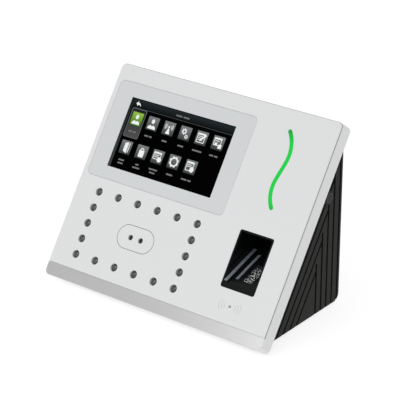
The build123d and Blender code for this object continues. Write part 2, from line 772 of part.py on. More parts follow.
def make_rear_housing():
    blank = housing_blank()
    housing = blank - housing_cavity()
    flange = sheet(
        cover_w - 2 * (cover_wall + flange_gap),
        cover_h - 2 * (cover_wall + flange_gap),
        flange_t - cover_t,
        flange_t,
        r=flange_r,
    )
    for place in cover_screws:
        flange -= post(screw_hole_d, 0, cover_t + past, place)
    housing += (face.location * flange) - housing_cavity()

    # Thicker wall round the bracket's recess, and the walls of the connector bay and cable notch
    half = bracket_w / 2 + bracket_gap
    recess_low = base_z + bracket_low - bracket_travel - bracket_gap
    recess_high = base_z + bracket_high + bracket_gap
    bay = (bay_x - bay_w / 2, bay_x + bay_w / 2)
    bay_z = (base_z + bay_low, base_z + bay_high)
    notch = (bay_x - notch_w / 2, bay_x + notch_w / 2)
    solid = block(
        (-half - housing_wall, half + housing_wall),
        (inner_rear_y, rear_y - side_edge_r),
        (recess_low - housing_wall, recess_high + housing_wall),
    )
    solid += block(
        (bay[0] - bay_wall, bay[1] + bay_wall),
        (bay_front - bay_wall, rear_y - side_edge_r),
        (bay_z[0] - bay_wall, bay_z[1] + bay_wall),
    )
    solid += block(
        (notch[0] - bay_wall, notch[1] + bay_wall),
        (rear_y - notch_depth - bay_wall, rear_y - side_edge_r),
        (base_z, bay_z[0]),
    )
    lock_top = bay_z[1] + bay_wall + lock_boss_h
    lock_y = rear_y - lock_from_rear
    solid += Pos(0, lock_y, bay_z[1]) * extrude(Circle(lock_boss_d / 2), lock_top - bay_z[1])
    for at in main_screws:
        solid += pin(boss_d + 1, (main_back_y, rear_y - 1), at)
    for at in bay_screws:
        solid += pin(boss_d, (socket_back_y, bay_front), at)
    housing += solid & blank

    out = rear_y + past
    housing -= block((-half, half), (recess_floor_y, out), (recess_low, recess_high))
    housing -= block(bay, (bay_front, out), bay_z)
    housing -= block(notch, (rear_y - notch_depth, out), (base_z - past, bay_z[0] + past))
    neck = tab_w / 2 + slide_gap
    neck_y = (rear_y - bracket_t - slide_gap, out)
    housing -= block((-neck, neck), neck_y, (bay_z[1] - past, recess_low + past))
    lock_z = bay_z[1] - past
    housing -= Pos(0, lock_y, lock_z) * extrude(Circle(lock_hole_d / 2), lock_top - lock_skin - lock_z)
    for x in (-hook_x, hook_x):
        wide = (x - hook_w / 2 - slide_gap, x + hook_w / 2 + slide_gap)
        for low in (hook_low, hook_high):
            housing -= block(wide, (inner_rear_y - past, rear_y), hook_slot(low))
    housing -= pin(plunger_d + 2 * pin_gap, (inner_rear_y - past, rear_y), tamper_at)
    for at in main_screws:
        housing -= pin(pilot_d, (main_back_y - past, inner_rear_y), at)
    for at in bay_screws:
        housing -= pin(pilot_d, (socket_back_y - past, bay_front - bay_pilot_end), at)

    # Openings in the bay's front wall
    wall = (bay_front - bay_wall - past, bay_front + past)
    sockets = [
        (ethernet_x, ethernet_w, ethernet_h, socket_row),
        (usb_x, usb_w, usb_h, socket_row),
        (power_x, power_w, power_h, socket_row),
    ]
    sockets += [(x, block_w, block_h, block_row) for x in block_xs]
    for x, w, h, row in sockets:
        half_w, half_h, z = w / 2 + socket_gap, h / 2 + socket_gap, base_z + row
        housing -= block((x - half_w, x + half_w), wall, (z - half_h, z + half_h))
    housing -= pin(reset_d + 2 * pin_gap, wall, reset_at)

    # Grooves, caps, feet and speaker slots
    for side in (-1, 1):
        grooves = extrude(chevrons(), groove_d + past)
        start = housing_w / 2 - groove_d if side > 0 else -housing_w / 2 - past
        housing -= Pos(start, 0, 0) * grooves
        cap = Plane(origin=(side * housing_w / 2, *cap_at), z_dir=(side, 0, 0))
        housing += extrude(cap * Circle(cap_d / 2 + cap_boss), -housing_wall - past)
        housing -= extrude(cap * Circle(cap_d / 2), -cap_t)
        housing -= extrude(cap * Circle(cap_d / 4), -housing_wall)
    for x, y in foot_places:
        housing -= Pos(x, y, base_z - past) * extrude(Circle(foot_d / 2 + cap_gap), foot_sunk + past)
    slot = Rot(0, 0, 90) * SlotOverall(grille_slot_l, grille_slot_w)
    for i in range(grille_slots):
        x = speaker_x + (i - (grille_slots - 1) / 2) * grille_pitch
        housing -= Pos(x, speaker_y, base_z - past) * extrude(slot, housing_wall + 2 * past)
    return housing


def hook_slot(low):
    """Heights between which a bracket hook can travel."""
    z = base_z + low
    return z - bracket_travel - slide_gap, z + bracket_t + slide_gap


def make_side_caps():
    caps = []
    for side in (-1, 1):
        plane = Plane(origin=(side * housing_w / 2, *cap_at), z_dir=(side, 0, 0))
        cap = extrude(plane * Circle(cap_d / 2 - cap_gap), -cap_t)
        cap += extrude(plane * Circle(cap_d / 2 - cap_gap - cap_proud), cap_proud)
        caps.append(cap + extrude(plane * Circle(cap_d / 4 - cap_gap), -housing_wall))
    return group(caps)


def make_feet():
    feet = []
    for x, y in foot_places:
        foot = Pos(x, y, base_z + foot_sunk) * extrude(Circle(foot_d / 2), -foot_h - foot_sunk)
        feet.append(fillet(foot.faces().sort_by(Axis.Z)[0].edges(), foot_edge_r))
    return group(feet)


def make_bracket():
    low, high = base_z + bracket_low, base_z + bracket_high
    through = (rear_y - bracket_t - past, rear_y + past)
    upright = Plane(origin=(0, rear_y, (low + high) / 2), x_dir=(1, 0, 0), z_dir=(0, -1, 0))
    plate = extrude(upright * RectangleRounded(bracket_w, high - low, bracket_r), bracket_t)
    half = tamper_slot_w / 2
    slot = (tamper_at[1] - half, tamper_at[1] + bracket_travel + half)
    plate -= block((tamper_x - half, tamper_x + half), through, slot)
    for at in wall_holes:
        plate -= pin(wall_hole_d, through, at)
    tab_top = base_z + bay_high - slide_gap
    half = tab_w / 2
    plate += block((-half, half), (rear_y - bracket_t, rear_y), (tab_top - bracket_t, low + bracket_r))
    tab = block((-half, half), (rear_y - tab_reach, rear_y), (tab_top - bracket_t, tab_top))
    plate += tab - Pos(0, rear_y - lock_from_rear, 0) * extrude(Circle(lock_hole_d / 2), high)
    tip_y = (inner_rear_y - slide_gap - bracket_t, inner_rear_y - slide_gap)
    for x in (-hook_x, hook_x):
        wide = (x - hook_w / 2, x + hook_w / 2)
        for hook in (hook_low, hook_high):
            z = base_z + hook
            plate += block(wide, (tip_y[0], rear_y - bracket_t / 2), (z, z + bracket_t))
            plate += block(wide, tip_y, (z, z + bracket_t + hook_rise))
    return plate


def make_lock_screw():
    seat = base_z + bay_high - slide_gap - bracket_t
    at = Pos(0, rear_y - lock_from_rear, seat)
    screw = at * extrude(Circle(lock_head_d / 2), -lock_head_h)
    screw += at * extrude(Circle(lock_screw_d / 2), lock_screw_up)
    return screw - at * Pos(0, 0, -lock_head_h) * extrude(RegularPolygon(lock_hex, 6), lock_hex)


def make_tamper_plunger():
    plunger = pin(plunger_d, (collar_y, rear_y + plunger_out), tamper_at)
    plunger = fillet(plunger.faces().sort_by(Axis.Y)[-1].edges(), plunger_tip_r)
    plunger += pin(plunger_collar_d, (collar_y - plunger_collar_t, collar_y), tamper_at)
    stem = collar_y - plunger_collar_t - plunger_stem
    return plunger + pin(plunger_stem_d, (stem, collar_y - plunger_collar_t), tamper_at)


def make_tamper_switch():
    top = collar_y - plunger_collar_t - plunger_out - pin_gap
    x, z = tamper_at
    half = switch_size / 2
    switch = block((x - half, x + half), (main_back_y, top), (z - half, z + half))
    return switch - pin(plunger_stem_d + 2 * pin_gap, (main_back_y + switch_floor, top + past), tamper_at)


def make_main_board():
    low = base_z + main_low
    wide = (main_x - main_w / 2, main_x + main_w / 2)
    board = block(wide, (main_back_y - circuit_t, main_back_y), (low, low + main_h))
    for at in main_screws:
        board -= pin(screw_hole_d, (main_back_y - circuit_t - past, main_back_y + past), at)
    return board


def make_main_chips():
    front = main_back_y - circuit_t
    low = base_z + main_low
    chips = []
    for across, up, w, h, t in chip_list:
        x, z = main_x + across, low + up
        chips.append(block((x - w / 2, x + w / 2), (front - t, front), (z - h / 2, z + h / 2)))
    return group(chips)


def make_cell_holder():
    front = main_back_y - circuit_t
    at = (main_x + cell_x, base_z + main_low + cell_above)
    seat = front - cell_holder_t
    holder = pin(cell_holder_d, (seat, front), at)
    return holder - pin(cell_d + 2 * cell_gap, (seat - past, seat + cell_t), at)


def make_clock_cell():
    front = main_back_y - circuit_t
    at = (main_x + cell_x, base_z + main_low + cell_above)
    return pin(cell_d, (front - cell_holder_t, front - cell_holder_t + cell_t), at)


def make_socket_board():
    half = socket_board_h / 2
    board = block(
        (bay_x - socket_board_w / 2, bay_x + socket_board_w / 2),
        (socket_back_y - circuit_t, socket_back_y),
        (bay_mid_z - half, bay_mid_z + half),
    )
    for at in bay_screws:
        board -= pin(screw_hole_d, (socket_back_y - circuit_t - past, socket_back_y + past), at)
    return board


def socket_shell(x, w, h, row):
    z = base_z + row
    return block((x - w / 2, x + w / 2), (socket_back_y, socket_face_y), (z - h / 2, z + h / 2))


def socket_port(x, w, h, row, deep):
    z = base_z + row
    y = (socket_face_y - deep, socket_face_y + past)
    return block((x - w / 2, x + w / 2), y, (z - h / 2, z + h / 2))


def make_ethernet_socket():
    shell = socket_shell(ethernet_x, ethernet_w, ethernet_h, socket_row)
    port = (ethernet_port_w, ethernet_port_h, socket_row, ethernet_port_depth)
    return shell - socket_port(ethernet_x, *port)


def make_usb_socket():
    shell = socket_shell(usb_x, usb_w, usb_h, socket_row)
    shell -= socket_port(usb_x, usb_port_w, usb_port_h, socket_row, usb_port_depth)
    half = usb_port_w / 2 - usb_tongue_side
    top = base_z + socket_row + usb_port_h / 2 - usb_tongue_gap
    deep = (socket_face_y - usb_port_depth, socket_face_y - usb_tongue_back)
    return shell + block((usb_x - half, usb_x + half), deep, (top - usb_tongue_h, top))


def make_power_inlet():
    shell = socket_shell(power_x, power_w, power_h, socket_row)
    at = (power_x, base_z + socket_row)
    shell -= pin(power_port_d, (socket_face_y - power_port_depth, socket_face_y + past), at)
    return shell + pin(power_pin_d, (socket_face_y - power_port_depth, bay_front), at)


def make_terminal_blocks():
    blocks = []
    for x in block_xs:
        body = socket_shell(x, block_w, block_h, block_row)
        for i in range(block_ways):
            way = x + (i - (block_ways - 1) / 2) * block_w / block_ways
            body -= socket_port(way, block_port, block_port, block_row, block_port_depth)
        blocks.append(body)
    return group(blocks)


def make_reset_switch():
    x, z = reset_at
    half = reset_switch_size / 2
    top = socket_back_y + reset_switch_h
    switch = block((x - half, x + half), (socket_back_y, top), (z - half, z + half))
    return switch - pin(reset_stem_d + 2 * pin_gap, (socket_back_y + reset_floor, top + past), reset_at)


def make_reset_button():
    back = bay_front - bay_wall - pin_gap
    button = pin(reset_d, (back, socket_face_y), reset_at)
    button = fillet(button.faces().sort_by(Axis.Y)[-1].edges(), reset_tip_r)
    button += pin(reset_collar_d, (back - reset_collar_t, back), reset_at)
    stem_end = socket_back_y + reset_switch_h - reset_stem_in
    return button + pin(reset_stem_d, (stem_end, back - reset_collar_t), reset_at)


def make_speaker_frame():
    at = Pos(speaker_x, speaker_y, floor_z)
    ring = at * extrude(Circle(speaker_d / 2), speaker_rim_h)
    return ring - at * extrude(Circle(speaker_cone_d / 2), speaker_rim_h - speaker_top_t)


def make_speaker_cone():
    low = floor_z + speaker_cone_up
    high = low + speaker_cone_deep
    rim = speaker_cone_d / 2 - cap_gap
    hub = speaker_hub_d / 2
    outline = ((hub, high), (hub, high - speaker_cone_t), (rim, low), (rim, low + speaker_cone_t))
    cone = revolve(Plane.XZ * make_face(Polyline(*outline, close=True)), Axis.Z)
    cap = Pos(0, 0, high - speaker_cone_t) * extrude(Circle(hub), speaker_cone_t)
    return Pos(speaker_x, speaker_y, 0) * (cone + cap)


def make_speaker_magnet():
    return Pos(speaker_x, speaker_y, floor_z + speaker_rim_h) * extrude(Circle(magnet_d / 2), magnet_h)


def make_battery():
    x, y = battery_x, battery_y
    across = (x - battery_w / 2, x + battery_w / 2)
    pack = block(across, (y - battery_d / 2, y + battery_d / 2), (floor_z, floor_z + battery_h))
    return fillet(pack.edges().filter_by(Axis.X), battery_r)


def make_battery_clip():
    top = floor_z + battery_h
    half = battery_d / 2
    across = (battery_x - clip_w / 2, battery_x + clip_w / 2)
    y0, y1 = battery_y - half, battery_y + half
    clip = block(across, (y0 - clip_t, y1 + clip_t), (top, top + clip_t))
    clip += block(across, (y0 - clip_t, y0), (floor_z, top))
    clip += block(across, (y1, y1 + clip_t), (floor_z, top))
    clip += block(across, (y0 - clip_ear, y0), (floor_z, floor_z + clip_t))
    return clip + block(across, (y1, y1 + clip_ear), (floor_z, floor_z + clip_t))


def make_board_screws():
    screws = [face_screw(p, panel_t + lcd_t + lcd_frame_t, short_screw_l) for p in lcd_screws]
    screws += [face_screw(p, lamp_board_n + board_t, board_screw_l) for p in lamp_screws]
    screws += [face_screw(p, camera_seat + board_t, board_screw_l) for p in camera_screws]
    screws += [face_screw(p, status_seat + board_t, status_screw_l) for p in status_screws]
    screws = [face.location * s for s in screws]
    screws += [rear_screw(p, main_back_y - circuit_t, board_screw_l) for p in main_screws]
    screws += [rear_screw(p, socket_back_y - circuit_t, board_screw_l) for p in bay_screws]
    return group(screws)


def make_cover_screws():
    return group([face.location * face_screw(p, cover_t, cover_screw_l) for p in cover_screws])


nodes = {
    "front_cover": face.location * make_front_cover(),
    "bottom_trim": face.location * make_bottom_trim(),
    "touch_panel": face.location * make_touch_panel(),
    "panel_tape": face.location * make_panel_tape(),
    "display_module": face.location * make_display_module(),
    "display_frame": face.location * make_display_frame(),
    "camera_bezel": face.location * make_camera_bezel(),
    "camera_barrels": face.location * make_camera_barrels(),
    "camera_lenses": face.location * make_camera_lenses(),
    "camera_board": face.location * make_camera_board(),
    "infrared_lamp_board": face.location * make_lamp_board(),
    "infrared_lamps": face.location * make_lamps(),
    "status_light_pipe": face.location * make_status_light(),
    "status_light_board": face.location * make_status_board(),
    "status_light_leds": face.location * make_status_leds(),
    "finger_tray": face.location * make_finger_tray(),
    "finger_platen": face.location * make_platen(),
    "finger_sensor": face.location * make_sensor(),
    "finger_sensor_board": face.location * make_sensor_board(),
    "card_aerial_board": face.location * make_aerial_board(),
    "card_aerial_coil": face.location * make_aerial_coil(),
    "rear_housing": make_rear_housing(),
    "side_caps": make_side_caps(),
    "rubber_feet": make_feet(),
    "wall_bracket": make_bracket(),
    "bracket_lock_screw": make_lock_screw(),
    "tamper_plunger": make_tamper_plunger(),
    "tamper_switch": make_tamper_switch(),
    "main_board": make_main_board(),
    "main_board_chips": make_main_chips(),
    "clock_cell_holder": make_cell_holder(),
    "clock_cell": make_clock_cell(),
    "socket_board": make_socket_board(),
    "ethernet_socket": make_ethernet_socket(),
    "usb_socket": make_usb_socket(),
    "power_inlet": make_power_inlet(),
    "terminal_blocks": make_terminal_blocks(),
    "reset_switch": make_reset_switch(),
    "reset_button": make_reset_button(),
    "speaker_frame": make_speaker_frame(),
    "speaker_cone": make_speaker_cone(),
    "speaker_magnet": make_speaker_magnet(),
    "backup_battery": make_battery(),
    "battery_clip": make_battery_clip(),
    "board_screws": make_board_screws(),
    "cover_screws": make_cover_screws(),
}

for name, shape in nodes.items():
    export_step(shape, f"parts/{name}.step")
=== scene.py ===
import math

import bmesh
import bpy
from mathutils import Matrix, Vector


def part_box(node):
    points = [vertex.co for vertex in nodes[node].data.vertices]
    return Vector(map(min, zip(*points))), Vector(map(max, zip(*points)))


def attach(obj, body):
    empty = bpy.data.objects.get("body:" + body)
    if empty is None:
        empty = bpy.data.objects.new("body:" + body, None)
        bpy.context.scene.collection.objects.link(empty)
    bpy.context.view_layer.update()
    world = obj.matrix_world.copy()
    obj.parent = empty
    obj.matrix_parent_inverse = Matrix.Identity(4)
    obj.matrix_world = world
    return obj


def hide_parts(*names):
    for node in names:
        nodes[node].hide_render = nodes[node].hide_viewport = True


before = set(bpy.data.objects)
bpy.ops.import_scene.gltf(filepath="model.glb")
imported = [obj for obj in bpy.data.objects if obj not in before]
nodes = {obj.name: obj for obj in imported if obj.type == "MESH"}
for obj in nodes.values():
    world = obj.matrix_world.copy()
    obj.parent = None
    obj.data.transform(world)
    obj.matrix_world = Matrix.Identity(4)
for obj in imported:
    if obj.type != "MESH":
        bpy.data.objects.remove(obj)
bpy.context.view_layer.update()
scene = bpy.context.scene
print("frame loaded:", len(nodes), "nodes")


mm = 0.001      # one millimetre, in metres
# The sloping face has its own frame in millimetres: u right, v up the face, n out of it
faceTilt = math.radians(55.4)


def findFace():
    up = Vector((0, math.cos(faceTilt), math.sin(faceTilt)))
    out = Vector((0, -math.sin(faceTilt), math.cos(faceTilt)))
    points = [v.co for name in ("front_cover", "bottom_trim") for v in nodes[name].data.vertices]
    heights = [p.dot(up) for p in points]
    origin = up * (max(heights) + min(heights)) / 2 + out * max(p.dot(out) for p in points)
    turn = Matrix((Vector((1, 0, 0)), up, out)).transposed().to_4x4()
    return Matrix.Translation(origin) @ turn @ Matrix.Scale(mm, 4)


fromFace = findFace()
toFace = fromFace.inverted()


def boxOnFace(name):
    points = [toFace @ v.co for v in nodes[name].data.vertices]
    return (Vector([min(p[i] for p in points) for i in range(3)]),
            Vector([max(p[i] for p in points) for i in range(3)]))


# Shader groups shared by several finishes

def newGroup(name, inputs, outputs):
    tree = bpy.data.node_groups.new(name, "ShaderNodeTree")
    for label, kind, value in inputs:
        socket = tree.interface.new_socket(label, in_out="INPUT", socket_type="NodeSocket" + kind)
        socket.default_value = value
    for label, kind in outputs:
        tree.interface.new_socket(label, in_out="OUTPUT", socket_type="NodeSocket" + kind)
    return tree, tree.nodes.new("NodeGroupInput"), tree.nodes.new("NodeGroupOutput")


def wire(tree, *pairs):
    for output, socket in pairs:
        tree.links.new(output, socket)


def feed(tree, socket, value):
    if isinstance(value, bpy.types.NodeSocket):
        tree.links.new(value, socket)
    else:
        socket.default_value = value


def maths(tree, operation, a, b=0.0, clamp=False):
    node = tree.nodes.new("ShaderNodeMath")
    node.operation = operation
    node.use_clamp = clamp
    feed(tree, node.inputs[0], a)
    feed(tree, node.inputs[1], b)
    return node.outputs[0]


def scaleColour(tree, colour, gain):
    node = tree.nodes.new("ShaderNodeVectorMath")
    node.operation = "SCALE"
    feed(tree, node.inputs[0], colour)
    feed(tree, node.inputs["Scale"], gain)
    return node.outputs[0]


def noise(tree, place, scale, detail=3.0):
    node = tree.nodes.new("ShaderNodeTexNoise")
    feed(tree, node.inputs["Vector"], place)
    feed(tree, node.inputs["Scale"], scale)
    node.inputs["Detail"].default_value = detail
    return node.outputs["Fac"]


def remap(tree, value, low, high, start=0.0, end=1.0):
    node = tree.nodes.new("ShaderNodeMapRange")
    for label, number in (("From Min", low), ("From Max", high), ("To Min", start), ("To Max", end)):
        feed(tree, node.inputs[label], number)
    feed(tree, node.inputs["Value"], value)
    return node.outputs["Result"]


def blendColour(tree, amount, a, b):
    node = tree.nodes.new("ShaderNodeMix")
    node.data_type = "RGBA"        # its two colours are sockets 6 and 7
    feed(tree, node.inputs[0], amount)
    feed(tree, node.inputs[6], a)
    feed(tree, node.inputs[7], b)
    return node.outputs[2]


def makeSkinGroup():
    # Colour drift, settled dust, uneven gloss and a fine grain, for moulded and painted skins
    tree, start, end = newGroup(
        "skinWear",
        [("Colour", "Color", (0.8, 0.8, 0.8, 1)), ("Dust Colour", "Color", (0.55, 0.53, 0.5, 1)),
         ("Drift", "Float", 0.03), ("Dust", "Float", 0.05), ("Roughness", "Float", 0.4),
         ("Gloss Change", "Float", 0.06), ("Grain Scale", "Float", 1800.0)],
        [("Colour", "Color"), ("Roughness", "Float"), ("Height", "Float")])
    given = start.outputs
    place = tree.nodes.new("ShaderNodeTexCoord").outputs["Object"]
    broad = noise(tree, place, 16.0, 4.0)
    fine = noise(tree, place, 260.0, 3.0)
    grain = noise(tree, place, given["Grain Scale"], 2.0)
    drift = maths(tree, "MULTIPLY", maths(tree, "SUBTRACT", broad, 0.5), given["Drift"])
    skin = scaleColour(tree, given["Colour"], maths(tree, "ADD", drift, 1.0))
    normal = tree.nodes.new("ShaderNodeNewGeometry").outputs["Normal"]
    parts = tree.nodes.new("ShaderNodeSeparateXYZ")
    wire(tree, (normal, parts.inputs[0]))
    upward = remap(tree, parts.outputs["Z"], 0.1, 1.0)
    patches = maths(tree, "MULTIPLY", upward, remap(tree, fine, 0.4, 0.8))
    dust = maths(tree, "MULTIPLY", patches, given["Dust"], True)
    swing = maths(tree, "MULTIPLY", maths(tree, "SUBTRACT", fine, 0.5), given["Gloss Change"])
    rough = maths(tree, "ADD", maths(tree, "ADD", given["Roughness"], swing), dust, True)
    wire(tree, (blendColour(tree, dust, skin, given["Dust Colour"]), end.inputs["Colour"]),
         (rough, end.inputs["Roughness"]), (grain, end.inputs["Height"]))
    return tree


def makeBrushGroup():
    # Long fine lines along X, for brushed and rolled metal
    tree, start, end = newGroup(
        "brushLines",
        [("Colour", "Color", (0.7, 0.7, 0.7, 1)), ("Roughness", "Float", 0.3), ("Depth", "Float", 0.1),
         ("Stretch", "Float", 40.0), ("Line Scale", "Float", 900.0)],
        [("Colour", "Color"), ("Roughness", "Float"), ("Height", "Float")])
    given = start.outputs
    parts = tree.nodes.new("ShaderNodeSeparateXYZ")
    joined = tree.nodes.new("ShaderNodeCombineXYZ")
    place = tree.nodes.new("ShaderNodeTexCoord").outputs["Object"]
    wire(tree, (place, parts.inputs[0]), (parts.outputs["Y"], joined.inputs["Y"]),
         (parts.outputs["Z"], joined.inputs["Z"]),
         (maths(tree, "DIVIDE", parts.outputs["X"], given["Stretch"]), joined.inputs["X"]))
    lines = noise(tree, joined.outputs[0], given["Line Scale"], 4.0)
    swing = maths(tree, "MULTIPLY", maths(tree, "SUBTRACT", lines, 0.5), given["Depth"])
    colour = scaleColour(tree, given["Colour"], maths(tree, "ADD", swing, 1.0))
    rough = maths(tree, "ADD", given["Roughness"], swing, True)
    wire(tree, (colour, end.inputs["Colour"]), (rough, end.inputs["Roughness"]), (lines, end.inputs["Height"]))
    return tree


skinWear = makeSkinGroup()
brushLines = makeBrushGroup()
print("shader groups made")


# Finishes

def newMaterial(name, **settings):
    material = bpy.data.materials.new(name)
    material.use_nodes = True
    shader = material.node_tree.nodes["Principled BSDF"]
    for label, value in settings.items():
        shader.inputs[label.replace("_", " ")].default_value = value
    return material, material.node_tree, shader


def placeGroup(tree, group, values):
    node = tree.nodes.new("ShaderNodeGroup")
    node.node_tree = group
    for label, value in values.items():
        node.inputs[label].default_value = value
    return node.outputs


def addBump(tree, shader, height, strength, depth):
    bump = tree.nodes.new("ShaderNodeBump")
    bump.inputs["Strength"].default_value = strength
    bump.inputs["Distance"].default_value = depth
    wire(tree, (height, bump.inputs["Height"]), (bump.outputs["Normal"], shader.inputs["Normal"]))


def skin(name, colour, roughness, drift=0.03, dust=0.04, change=0.06, grain=1800.0, bump=0.15, depth=0.00005,
         **settings):
    material, tree, shader = newMaterial(name, **settings)
    wear = placeGroup(tree, skinWear, {
        "Colour": (*colour, 1), "Drift": drift, "Dust": dust, "Roughness": roughness,
        "Gloss Change": change, "Grain Scale": grain})
    wire(tree, (wear["Colour"], shader.inputs["Base Color"]), (wear["Roughness"], shader.inputs["Roughness"]))
    addBump(tree, shader, wear["Height"], bump, depth)
    return material


def metal(name, colour, roughness, depth=0.12, stretch=40.0, scale=900.0, bump=0.05):
    material, tree, shader = newMaterial(name, Metallic=1.0)
    lines = placeGroup(tree, brushLines, {
        "Colour": (*colour, 1), "Roughness": roughness, "Depth": depth,
        "Stretch": stretch, "Line Scale": scale})
    wire(tree, (lines["Colour"], shader.inputs["Base Color"]), (lines["Roughness"], shader.inputs["Roughness"]))
    addBump(tree, shader, lines["Height"], bump, 0.00003)
    return material


# Painted shade darkens each groove floor, which faces sideways and lies deeper than "sunk" behind the side that
# the caps stand out of.
# Both lengths are in metres.
paintedGrooveShade = {"capProud": 0.0004, "sunk": 0.0008, "sideways": 0.9, "shade": 0.1}


def makeHousingPlastic():
    # Grained black plastic, with painted shade making the floors of the side grooves darker
    material, tree, shader = newMaterial("housingPlastic", Specular_IOR_Level=0.14)
    wear = placeGroup(tree, skinWear, {
        "Colour": (0.010, 0.010, 0.009, 1), "Drift": 0.25, "Dust": 0.035, "Roughness": 0.55,
        "Gloss Change": 0.1, "Grain Scale": 2200.0})
    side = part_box("side_caps")[1][0] - paintedGrooveShade["capProud"]
    at = tree.nodes.new("ShaderNodeSeparateXYZ")
    facing = tree.nodes.new("ShaderNodeSeparateXYZ")
    wire(tree, (tree.nodes.new("ShaderNodeTexCoord").outputs["Object"], at.inputs[0]),
         (tree.nodes.new("ShaderNodeNewGeometry").outputs["Normal"], facing.inputs[0]))
    sunk = maths(tree, "LESS_THAN", maths(tree, "ABSOLUTE", at.outputs["X"]), side - paintedGrooveShade["sunk"])
    sideways = maths(tree, "ABSOLUTE", facing.outputs["X"])
    sideways = maths(tree, "GREATER_THAN", sideways, paintedGrooveShade["sideways"])
    # Painted shade: the colour is darkened on the groove floors, where shade falls
    shade = remap(tree, maths(tree, "MULTIPLY", sunk, sideways), 0.0, 1.0, 1.0, paintedGrooveShade["shade"])
    wire(tree, (scaleColour(tree, wear["Colour"], shade), shader.inputs["Base Color"]),
         (wear["Roughness"], shader.inputs["Roughness"]))
    addBump(tree, shader, wear["Height"], 0.5, 0.00008)
    return material


# Painted shade on the rounded edge of the face, set by how squarely a spot looks out of the face: 1 on the face
# itself, 0 on the side walls
paintedEdgeShade = {"turn": (0.97, 0.75), "wall": (0.05, 0.3), "shade": 0.22}


def makeCoverPaint():
    # White paint, with painted shade making it grey where it turns over the rounded edge of the face
    material, tree, shader = newMaterial("coverPaint")
    wear = placeGroup(tree, skinWear, {
        "Colour": (0.72, 0.725, 0.73, 1), "Drift": 0.012, "Dust": 0.015, "Roughness": 0.36,
        "Gloss Change": 0.06, "Grain Scale": 3000.0})
    aside = tree.nodes.new("ShaderNodeVectorMath")
    aside.operation = "DOT_PRODUCT"
    aside.inputs[1].default_value = (0, -math.sin(faceTilt), math.cos(faceTilt))
    wire(tree, (tree.nodes.new("ShaderNodeNewGeometry").outputs["Normal"], aside.inputs[0]))
    turned = remap(tree, aside.outputs["Value"], *paintedEdgeShade["turn"])
    edge = maths(tree, "MULTIPLY", turned, remap(tree, aside.outputs["Value"], *paintedEdgeShade["wall"]))
    # Painted shade: the paint is darkened where it turns over the edge
    shade = remap(tree, edge, 0.0, 1.0, 1.0, paintedEdgeShade["shade"])
    wire(tree, (scaleColour(tree, wear["Colour"], shade), shader.inputs["Base Color"]),
         (wear["Roughness"], shader.inputs["Roughness"]))
    addBump(tree, shader, wear["Height"], 0.04, 0.00005)
    return material


rampAngle = math.radians(38.7)                  # the finger ramp dives under the face
# Painted reflection: grey streaks along the top of the left finger guide
paintedRailSheen = {"start": -46.25, "length": 37.4, "left": (-13.4, -12.9), "right": (-9.7, -10.4),
            "flat": (0.86, 0.94), "black": (0.004, 0.005, 0.005, 1), "paintedSheen": (0.20, 0.215, 0.25, 1)}


def makeTrayGloss():
    # Gloss black, with a painted reflection making the left finger guide grey along its top
    material, tree, shader = newMaterial("trayGloss", Specular_IOR_Level=0.14)
    low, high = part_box("finger_tray")
    at = tree.nodes.new("ShaderNodeSeparateXYZ")
    facing = tree.nodes.new("ShaderNodeSeparateXYZ")
    place = tree.nodes.new("ShaderNodeTexCoord").outputs["Object"]
    wire(tree, (place, at.inputs[0]),
         (tree.nodes.new("ShaderNodeNewGeometry").outputs["Normal"], facing.inputs[0]))
    middle = (low[0] + high[0]) / 2
    across = maths(tree, "DIVIDE", maths(tree, "SUBTRACT", at.outputs["X"], middle), mm)
    rail = maths(tree, "MULTIPLY", remap(tree, across, *paintedRailSheen["left"]),
                 remap(tree, across, *paintedRailSheen["right"]))
    flat = remap(tree, facing.outputs["Z"], *paintedRailSheen["flat"])
    end = (fromFace @ Vector((0, paintedRailSheen["start"] + paintedRailSheen["length"] * math.cos(rampAngle),
                              -paintedRailSheen["length"] * math.sin(rampAngle)))).y
    rail = maths(tree, "MULTIPLY", rail, maths(tree, "LESS_THAN", at.outputs["Y"], end))
    streaks = remap(tree, noise(tree, place, 420.0, 4.0), 0.3, 0.7, 0.7, 1.15)
    # Painted reflection, only on the guide's top facet
    paintedSheen = maths(tree, "MULTIPLY", maths(tree, "MULTIPLY", rail, flat), streaks, True)
    wire(tree, (blendColour(tree, paintedSheen, paintedRailSheen["black"], paintedRailSheen["paintedSheen"]), shader.inputs["Base Color"]),
         (remap(tree, paintedSheen, 0.0, 1.0, 0.22, 0.5), shader.inputs["Roughness"]))
    return material


def makeSmoked(name, colour, roughness, specular=0.5):
    # Smoked epoxy with faint flow marks
    material, tree, shader = newMaterial(name, IOR=1.5, Specular_IOR_Level=specular)
    place = tree.nodes.new("ShaderNodeTexCoord").outputs["Object"]
    flow = noise(tree, place, 700.0, 3.0)
    wire(tree, (scaleColour(tree, colour, remap(tree, flow, 0.3, 0.7, 0.6, 1.5)), shader.inputs["Base Color"]),
         (remap(tree, flow, 0.2, 0.8, roughness, roughness + 0.12), shader.inputs["Roughness"]))
    return material


def makeGlow(name, top, bottom, strength=1.0):
    # Lit display area, from its top colour to its bottom colour along its own UV map
    material, tree, shader = newMaterial(name, Emission_Strength=strength, Roughness=0.4)
    shader.inputs["Base Color"].default_value = (0, 0, 0, 1)
    shader.inputs["Specular IOR Level"].default_value = 0.0
    parts = tree.nodes.new("ShaderNodeSeparateXYZ")
    wire(tree, (tree.nodes.new("ShaderNodeTexCoord").outputs["UV"], parts.inputs[0]))
    mix = blendColour(tree, parts.outputs["Y"], (*bottom, 1), (*top, 1))
    wire(tree, (mix, shader.inputs["Emission Color"]))
    return material


